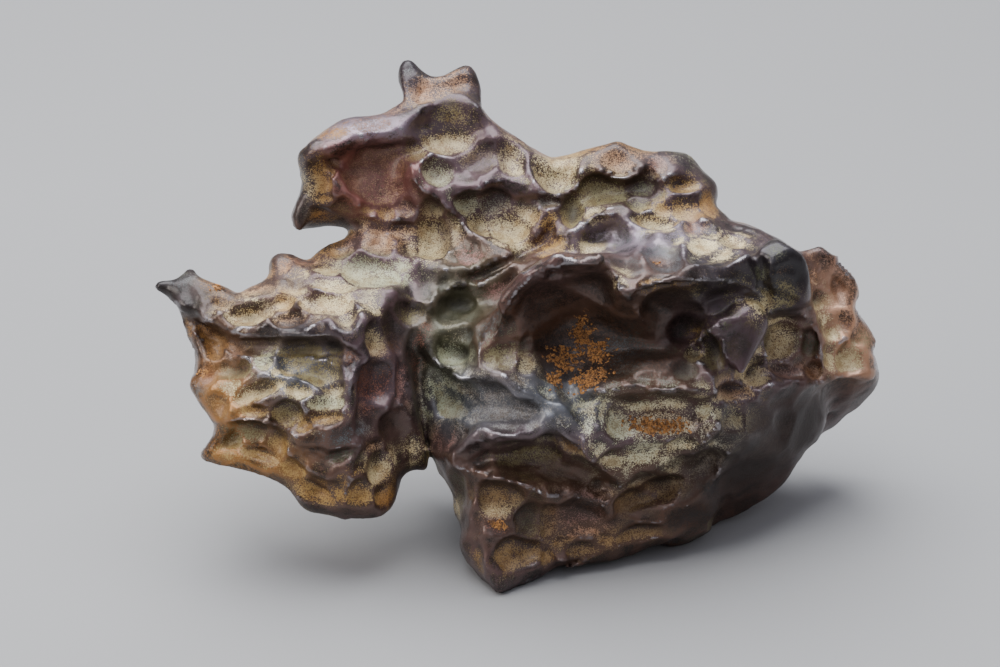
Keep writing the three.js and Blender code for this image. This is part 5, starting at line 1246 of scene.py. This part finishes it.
def pale_floor(studio):
    """A plain pale floor with a very faint unevenness."""
    material, tree, where, surface = new_material("pale_floor")
    cloud = tree.noise(where, 0.5, 3.0)
    tint = list(studio.floor_colour)
    shade = tree.blend(tree.band(cloud, 0.3, 0.7), tint, [0.96 * c for c in tint])
    tree.join(shade, surface.inputs["Base Color"])
    tree.join(tree.band(cloud, 0.3, 0.7, 0.7, 0.8), surface.inputs["Roughness"])
    return material


# ---------------------------------------------------------------- making the pieces

def new_object(name, data):
    """An object in the scene that shows a mesh, a light or a camera."""
    made = bpy.data.objects.new(name, data)
    bpy.context.scene.collection.objects.link(made)
    return made


def mesh_object(name, points, faces):
    """An object with a mesh of the given faces."""
    mesh = bpy.data.meshes.new(name)
    mesh.from_pydata(points, [], faces)
    mesh.update()
    return new_object(name, mesh)


def sculpt_field(cell):
    """The whole piece as a field, worked in the order that a sculptor would."""
    field = Field(cell)
    for mass in MASSES.values():
        field.add_mass(mass)
    for hollow in HOLLOWS.values():
        field.sink_hollow(*hollow)
    field.raise_crests(CRESTS)
    draw = random_from(SEED)
    field.start_pits(0)
    field.scoop_side_pits(SIDE_HOLLOWS, draw)
    field.cut_pits(1)
    field.start_pits(RIM)
    field.scoop_front_pits([group for group in PITS if group != "details"])
    field.scoop_side_pits(SIDE_PITS, draw)
    field.scoop_fill_pits()
    pit_depth = field.cut - field.second_cut
    field.cut_pits(1)
    for mass in LATE_MASSES.values():
        field.add_mass(mass)
    for spur in SPURS:
        field.add_spur(*spur)
    field.start_pits(0)
    field.scoop_front_pits(["details"])
    field.cut_pits(0.8)
    field.pit_depth = np.maximum(pit_depth, field.cut - field.second_cut)
    field.shape_underside()
    field.add_rest_knobs()
    field.trim_to_outline()
    field.trim_to_ground()
    field.open_pinches()
    return field


def age_surface(field, points, normals):
    """Numbers for each vertex: the iron's tint, its patina, how worn and rusty it is, and how much
    painted shade and dullness it gets.
    """
    palette = {name: (*paint(code), PATINA_COVER.get(name, 1)) for name, code in COLOURS.items()}
    sharp = blurred(field.value, 1)
    fine = blurred(sharp, 3)
    broad = blurred(fine, 12)
    # How far the skin stands out of its surroundings, or lies sunk in them.
    edge = field.at(points, sharp)
    ridge = field.at(points, fine)
    bowl = -field.at(points, broad)
    pit = field.at(points, field.pit_depth)
    away = normals[:, 2] < -0.2
    up = normals[:, 1] * math.cos(LOOK_DOWN) + normals[:, 2] * math.sin(LOOK_DOWN)

    # How much more a spot faces up than the skin around it does.
    above = UP_REACH * np.array([0, math.cos(LOOK_DOWN), math.sin(LOOK_DOWN)])
    up_wide = (field.at(points + above) - field.at(points - above)) / (2 * UP_REACH)
    tilt = up - 0.7 * up_wide

    # The patina: thin on the ridges. On the upper, downward-facing half of each pit it is thinned as
    # painted shade, so the dark iron shows there instead.
    spots = [(place, size, palette[colour]) for place, size, colour in field.spots]
    stains = gather_spots(field, STAINS, palette)
    patina, near = spread_spots(points, spots + stains, (*paint(COLOURS["brown"]), 0.3), 1.55)
    _, stained = spread_spots(points, stains, (0, 0, 0, 0), 1.15)
    # The dark brown stains are painted shade. Through the painted-shade mask below, they also darken
    # and dull the skin further.
    soot = [spot for spot in stains if spot[2] == palette["soot"]]
    _, shadowed_share = spread_spots(points, soot, (0, 0, 0, 0), 1.15)
    in_pit = np.maximum(0.15 + 0.85 * smooth_step(0.2, 1.4, pit), 0.8 * stained)
    shown = smooth_step(0.8, -0.1, ridge) * in_pit
    patina[:, 3] *= shown * smooth_step(0.0, 0.2, near)
    # Painted shade: less patina where a spot faces down more than the skin around it, and less cut back
    # where the broad surface faces up.
    least = 0.12 + 0.3 * smooth_step(0.3, 0.8, up_wide)
    patina[:, 3] *= np.maximum(least + (1 - least) * smooth_step(-0.4, 0.25, tilt), 0.85 * stained)

    # The bare iron, and how much of a ridge it is. The ridge share sets how much painted sheen the iron
    # gets.
    spots = gather_spots(field, IRON_SPOTS, palette)
    spots += far_side_spots(points, away, FAR_IRON, palette, 34, 9)
    bare, _ = spread_spots(points, spots, (*paint(COLOURS["brown"]), 1), 1)
    bare[:, 3] = smooth_step(-0.2, 0.9, ridge)

    # Worn edges, painted shade and rust. The painted shade is darker and duller in the broad hollows,
    # on what faces down and under the dark brown stains.
    _, rust = spread_spots(points, gather_spots(field, RUST_SPOTS, palette), (0, 0, 0, 0), 1)
    crest = smooth_step(0.2, 0.55, edge)
    grime = np.maximum(smooth_step(0.8, 3.6, bowl), 0.55 * smooth_step(0.1, -0.8, up))
    grime = np.maximum(grime, 0.8 * shadowed_share)
    age = np.stack([crest, grime, rust, smooth_step(0.2, 2.0, pit)], 1)
    return {"patina": patina, "bare": bare, "age": age}


def drop_chips(mesh):
    """Delete what the thinning pinched off from the skin."""
    skin = bmesh.new()
    skin.from_mesh(mesh)
    rest = set(skin.faces)
    parts = []
    while rest:
        part = [rest.pop()]
        for face in part:
            for edge in face.edges:
                beside = [near for near in edge.link_faces if near in rest]
                rest.difference_update(beside)
                part.extend(beside)
        parts.append(part)
    parts.sort(key=len)
    chips = [face for part in parts[:-1] for face in part]
    bmesh.ops.delete(skin, geom=chips, context="FACES")
    skin.to_mesh(mesh)
    skin.free()


def thinned(points, quads, goal):
    """The mesh with its flatter parts thinned until about the goal of triangles is left."""
    rough = mesh_object("rough_skin", points, quads.tolist())
    thin = rough.modifiers.new("thin", "DECIMATE")
    thin.ratio = min(1, goal / (2 * len(quads)))
    evaluated = rough.evaluated_get(bpy.context.evaluated_depsgraph_get())
    mesh = bpy.data.meshes.new_from_object(evaluated)
    bpy.data.objects.remove(rough)
    drop_chips(mesh)
    return mesh


def vertex_places(mesh):
    """The place of each vertex, in rows of three numbers."""
    places = np.empty(3 * len(mesh.vertices), np.float32)
    mesh.vertices.foreach_get("co", places)
    return places.reshape(-1, 3).astype(float)


def make_iron(shape, finish):
    """The whole meteorite as one closed skin."""
    field = sculpt_field(shape.cell * 1000)
    points, quads = take_skin(field)
    for _ in range(2):
        slope = field.slope(points, 0.7)
        points = points - (field.at(points) / (slope ** 2).sum(1).clip(0.2))[:, None] * slope
    mesh = thinned(points, quads, shape.triangles)
    points = vertex_places(mesh)
    normals = field.slope(points, 1.4)
    normals /= np.linalg.norm(normals, axis=1, keepdims=True) + 1e-9
    marks = age_surface(field, points, normals)
    for size, height, seed in UNEVENNESS:
        shift = np.stack([grain(points, size, seed + q) for q in range(3)], 1) - 0.5
        points = points + shape.unevenness * height * shift

    placed = np.stack(stand(*points.T), 1) + (*SHEET_SHIFT, 0)
    placed[:, 2] = np.where(placed[:, 2] < GROUND_SNAP, 0, placed[:, 2])
    mesh.vertices.foreach_set("co", (placed * MM).astype(np.float32).ravel())
    for name, values in marks.items():
        layer = mesh.color_attributes.new(name, "FLOAT_COLOR", "POINT")
        layer.data.foreach_set("color", values.astype(np.float32).ravel())
    mesh.name = "meteorite_skin"
    mesh.materials.append(waxed_iron(finish, broken_edge()))
    mesh.shade_smooth()
    iron = new_object("meteorite_skin", mesh)
    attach(iron, "root")
    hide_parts(SOLID)
    return iron


def crumb_tree(material):
    """Geometry nodes that scatter small crumbs where the skin's age attribute says it is rusty."""
    group = bpy.data.node_groups.new("rust crumbs", "GeometryNodeTree")
    for label, kind in (("Skin", "Geometry"), ("Density", "Float"), ("Smallest", "Float"),
                        ("Largest", "Float"), ("Seed", "Int")):
        group.interface.new_socket(label, in_out="INPUT", socket_type="NodeSocket" + kind)
    group.interface.new_socket("Crumbs", in_out="OUTPUT", socket_type="NodeSocketGeometry")
    tree = Tree(group)
    given = tree.add("NodeGroupInput").outputs
    age = tree.add("GeometryNodeInputNamedAttribute", {"Name": "age"}, data_type="FLOAT_COLOR")
    rust = tree.add("FunctionNodeSeparateColor", {0: age.outputs["Attribute"]}).outputs[2]
    place = tree.add("GeometryNodeInputPosition").outputs[0]
    clumps = tree.band(tree.noise(place, 0.0035, 3.0, 0.6), 0.45, 0.6)
    share = tree.sum("MULTIPLY", tree.band(rust, 0.15, 0.8), clumps)
    spots = tree.add("GeometryNodeDistributePointsOnFaces",
                     {"Mesh": given["Skin"], "Density": tree.sum("MULTIPLY", share, given["Density"]),
                      "Seed": given["Seed"]})
    size, turn = (
        tree.add("FunctionNodeRandomValue", {0: least, 1: most, "Seed": given["Seed"]},
                 data_type="FLOAT_VECTOR").outputs[0]
        for least, most in ((given["Smallest"], given["Largest"]), ((0, 0, 0), [CRUMB_TURN] * 3)))
    crumb = tree.add("GeometryNodeMeshIcoSphere", {"Radius": 1.0, "Subdivisions": 1})
    laid = tree.add("GeometryNodeInstanceOnPoints",
                    {"Points": spots.outputs["Points"], "Instance": crumb.outputs["Mesh"],
                     "Rotation": turn, "Scale": size})
    real = tree.add("GeometryNodeRealizeInstances", {0: laid.outputs[0]})
    dressed = tree.add("GeometryNodeSetMaterial", {"Geometry": real.outputs[0], "Material": material})
    tree.add("NodeGroupOutput", {0: dressed.outputs[0]})
    return group


def make_crumbs(crumbs, finish):
    """Crumbs of loose rust, half sunk in the skin."""
    host = new_object("rust_crumbs", bpy.data.objects["meteorite_skin"].data.copy())
    scatter = host.modifiers.new("scatter", "NODES")
    scatter.node_group = crumb_tree(loose_rust(finish))
    for socket in scatter.node_group.interface.items_tree:
        if socket.name.lower() in crumbs.__annotations__:
            scatter[socket.identifier] = getattr(crumbs, socket.name.lower())
    evaluated = host.evaluated_get(bpy.context.evaluated_depsgraph_get())
    made = bpy.data.meshes.new_from_object(evaluated)
    host.modifiers.clear()
    host.data = made
    made.name = "rust_crumbs"
    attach(host, "root")
    return host


def make_stage(studio):
    """The floor, the light from all round and the two softboxes."""
    turns = np.linspace(0, 2 * math.pi, FLOOR_SIDES, False)
    ring = [(math.cos(a) * FLOOR_RADIUS, math.sin(a) * FLOOR_RADIUS, 0) for a in turns]
    floor = mesh_object("floor", ring, [list(range(FLOOR_SIDES))])
    floor.data.materials.append(pale_floor(studio))

    sky = bpy.data.worlds.new("soft_sky")
    bpy.context.scene.world = sky
    sky.use_nodes = True
    sky.node_tree.nodes.clear()
    tree = Tree(sky.node_tree)
    way = tree.add("ShaderNodeTexCoord").outputs["Generated"]
    height = tree.add("ShaderNodeSeparateXYZ", {0: way}).outputs["Z"]
    shade = tree.blend(tree.band(height, -0.1, 0.9), studio.horizon, studio.sky)
    light = tree.add("ShaderNodeBackground", {"Color": shade, "Strength": studio.sky_strength})
    tree.add("ShaderNodeOutputWorld", {"Surface": light.outputs[0]})

    aim = Vector((0, 0, MIDDLE_HEIGHT * MM))
    for name, place, size, power, colour in (
            ("top_softbox", (-0.2, 0.25, 1.5), 1.8, studio.top_light, (0.93, 0.96, 1)),
            ("left_softbox", (-1.5, -0.6, 0.9), 0.8, studio.side_light, (1, 0.95, 0.9))):
        lamp = bpy.data.lights.new(name, "AREA")
        lamp.energy, lamp.size, lamp.color = power, size, colour
        holder = new_object(name, lamp)
        holder.location = place
        holder.rotation_euler = (aim - holder.location).to_track_quat("-Z", "Y").to_euler()


def make_camera():
    """Looks along the line that the front is drawn on."""
    lens = bpy.data.cameras.new("camera")
    lens.sensor_width = 36
    lens.lens = lens.sensor_width * VIEW_DISTANCE / (SHEET_WIDTH * SQUARE)
    back = Vector((0, -math.cos(LOOK_DOWN), math.sin(LOOK_DOWN)))
    middle = Vector((*SHEET_SHIFT, MIDDLE_HEIGHT)) * MM
    camera = new_object("camera", lens)
    camera.location = middle + back * VIEW_DISTANCE * MM
    camera.rotation_euler = (-back).to_track_quat("-Z", "Y").to_euler()
    bpy.context.scene.camera = camera


# ---------------------------------------------------------------- what a user can change

class IronShape(bpy.types.PropertyGroup):
    """Sizes of the sculpted skin."""
    cell: bpy.props.FloatProperty(
        name="Grid cell", description="Side of one cell of the grid the skin is taken from",
        default=0.00125, min=0.001, max=0.004, unit="LENGTH")
    triangles: bpy.props.IntProperty(
        name="Triangles", description="How many triangles the skin keeps", default=192000, min=20000)
    unevenness: bpy.props.FloatProperty(
        name="Unevenness", description="How far the skin wanders from its drawn shape",
        default=1, min=0, max=3, subtype="FACTOR")


class IronFinish(bpy.types.PropertyGroup):
    """Colours and gloss of the iron."""
    # Its colour is used for the painted shade in the hollows and on what faces down, and for the dark
    # speckle deep in the pits.
    grime: bpy.props.FloatVectorProperty(
        name="Grime and shade", description="Colour of the dark film deep in the hollows",
        default=paint("#1c1512"), subtype="COLOR", min=0, max=1)
    rust: bpy.props.FloatVectorProperty(
        name="Rust", description="Colour of the loose rust",
        default=paint("#b57f46"), subtype="COLOR", min=0, max=1)
    dark_rust: bpy.props.FloatVectorProperty(
        name="Dark rust", description="Colour of the rust in its own hollows",
        default=paint("#5e4028"), subtype="COLOR", min=0, max=1)
    steel: bpy.props.FloatVectorProperty(
        name="Steel", description="Colour of the bright metal along worn crests",
        default=paint("#9c989b"), subtype="COLOR", min=0, max=1)
    wax_roughness: bpy.props.FloatProperty(
        name="Wax roughness", description="How dull the wax over the iron is", default=0.18,
        min=0, max=1)


class RustCrumbs(bpy.types.PropertyGroup):
    """How many crumbs of loose rust there are, and how large."""
    density: bpy.props.FloatProperty(
        name="Density", description="Crumbs on each square metre of full rust", default=2.2e6, min=0)
    smallest: bpy.props.FloatProperty(
        name="Smallest", description="Least half width of a crumb",
        default=0.0002, min=0, unit="LENGTH")
    largest: bpy.props.FloatProperty(
        name="Largest", description="Greatest half width of a crumb",
        default=0.0009, min=0, unit="LENGTH")
    seed: bpy.props.IntProperty(
        name="Seed", description="Seed of the crumbs' places", default=4, min=0)


class StudioSetup(bpy.types.PropertyGroup):
    """The floor and the lights."""
    floor_colour: bpy.props.FloatVectorProperty(
        name="Floor", description="Colour of the floor",
        default=(0.33, 0.325, 0.32), subtype="COLOR", min=0, max=1)
    horizon: bpy.props.FloatVectorProperty(
        name="Horizon", description="Colour of the light from the sides",
        default=paint("#6c645c"), subtype="COLOR", min=0, max=1)
    sky: bpy.props.FloatVectorProperty(
        name="Sky", description="Colour of the light from above",
        default=paint("#e4e8f8"), subtype="COLOR", min=0, max=1)
    sky_strength: bpy.props.FloatProperty(
        name="Sky strength", description="How strong the light from all round is", default=0.98, min=0)
    top_light: bpy.props.FloatProperty(
        name="Top light", description="Power of the softbox overhead in watts", default=62, min=0)
    side_light: bpy.props.FloatProperty(
        name="Side light", description="Power of the softbox at the left in watts", default=13, min=0)


class METEORITE_OT_stage(bpy.types.Operator):
    """Makes the floor, the lights and the camera"""
    bl_idname = "meteorite.make_stage"
    bl_label = "Make the stage"

    def execute(self, context):
        make_stage(context.scene.meteorite_studio)
        make_camera()
        return {"FINISHED"}


class METEORITE_OT_iron(bpy.types.Operator):
    """Sculpts the meteorite and gives it its finish"""
    bl_idname = "meteorite.make_iron"
    bl_label = "Make the iron"

    def execute(self, context):
        make_iron(context.scene.meteorite_shape, context.scene.meteorite_finish)
        return {"FINISHED"}


class METEORITE_OT_crumbs(bpy.types.Operator):
    """Scatters crumbs of loose rust over the rusty parts of the meteorite"""
    bl_idname = "meteorite.make_crumbs"
    bl_label = "Make the rust crumbs"

    def execute(self, context):
        make_crumbs(context.scene.meteorite_crumbs, context.scene.meteorite_finish)
        return {"FINISHED"}


class METEORITE_PT_panel(bpy.types.Panel):
    """Lists the sizes, colours and steps of the meteorite"""
    bl_label = "Meteorite"
    bl_idname = "METEORITE_PT_panel"
    bl_space_type = "VIEW_3D"
    bl_region_type = "UI"
    bl_category = "Meteorite"

    def draw(self, context):
        for group in SETTINGS:
            box = self.layout.box()
            settings = getattr(context.scene, group)
            for name in settings.__annotations__:
                box.prop(settings, name)
        for operator in OPERATORS:
            self.layout.operator(operator.bl_idname)


SETTINGS = {"meteorite_shape": IronShape, "meteorite_finish": IronFinish,
            "meteorite_crumbs": RustCrumbs, "meteorite_studio": StudioSetup}
OPERATORS = (METEORITE_OT_iron, METEORITE_OT_crumbs, METEORITE_OT_stage)
CLASSES = (*SETTINGS.values(), *OPERATORS, METEORITE_PT_panel)


def register():
    for made in CLASSES:
        bpy.utils.register_class(made)
    for name, group in SETTINGS.items():
        setattr(bpy.types.Scene, name, bpy.props.PointerProperty(type=group))


def unregister():
    for name in SETTINGS:
        delattr(bpy.types.Scene, name)
    for made in reversed(CLASSES):
        bpy.utils.unregister_class(made)


def main():
    register()
    bpy.ops.meteorite.make_iron()
    bpy.ops.meteorite.make_crumbs()
    bpy.ops.meteorite.make_stage()


if __name__ == "__main__":
    main()
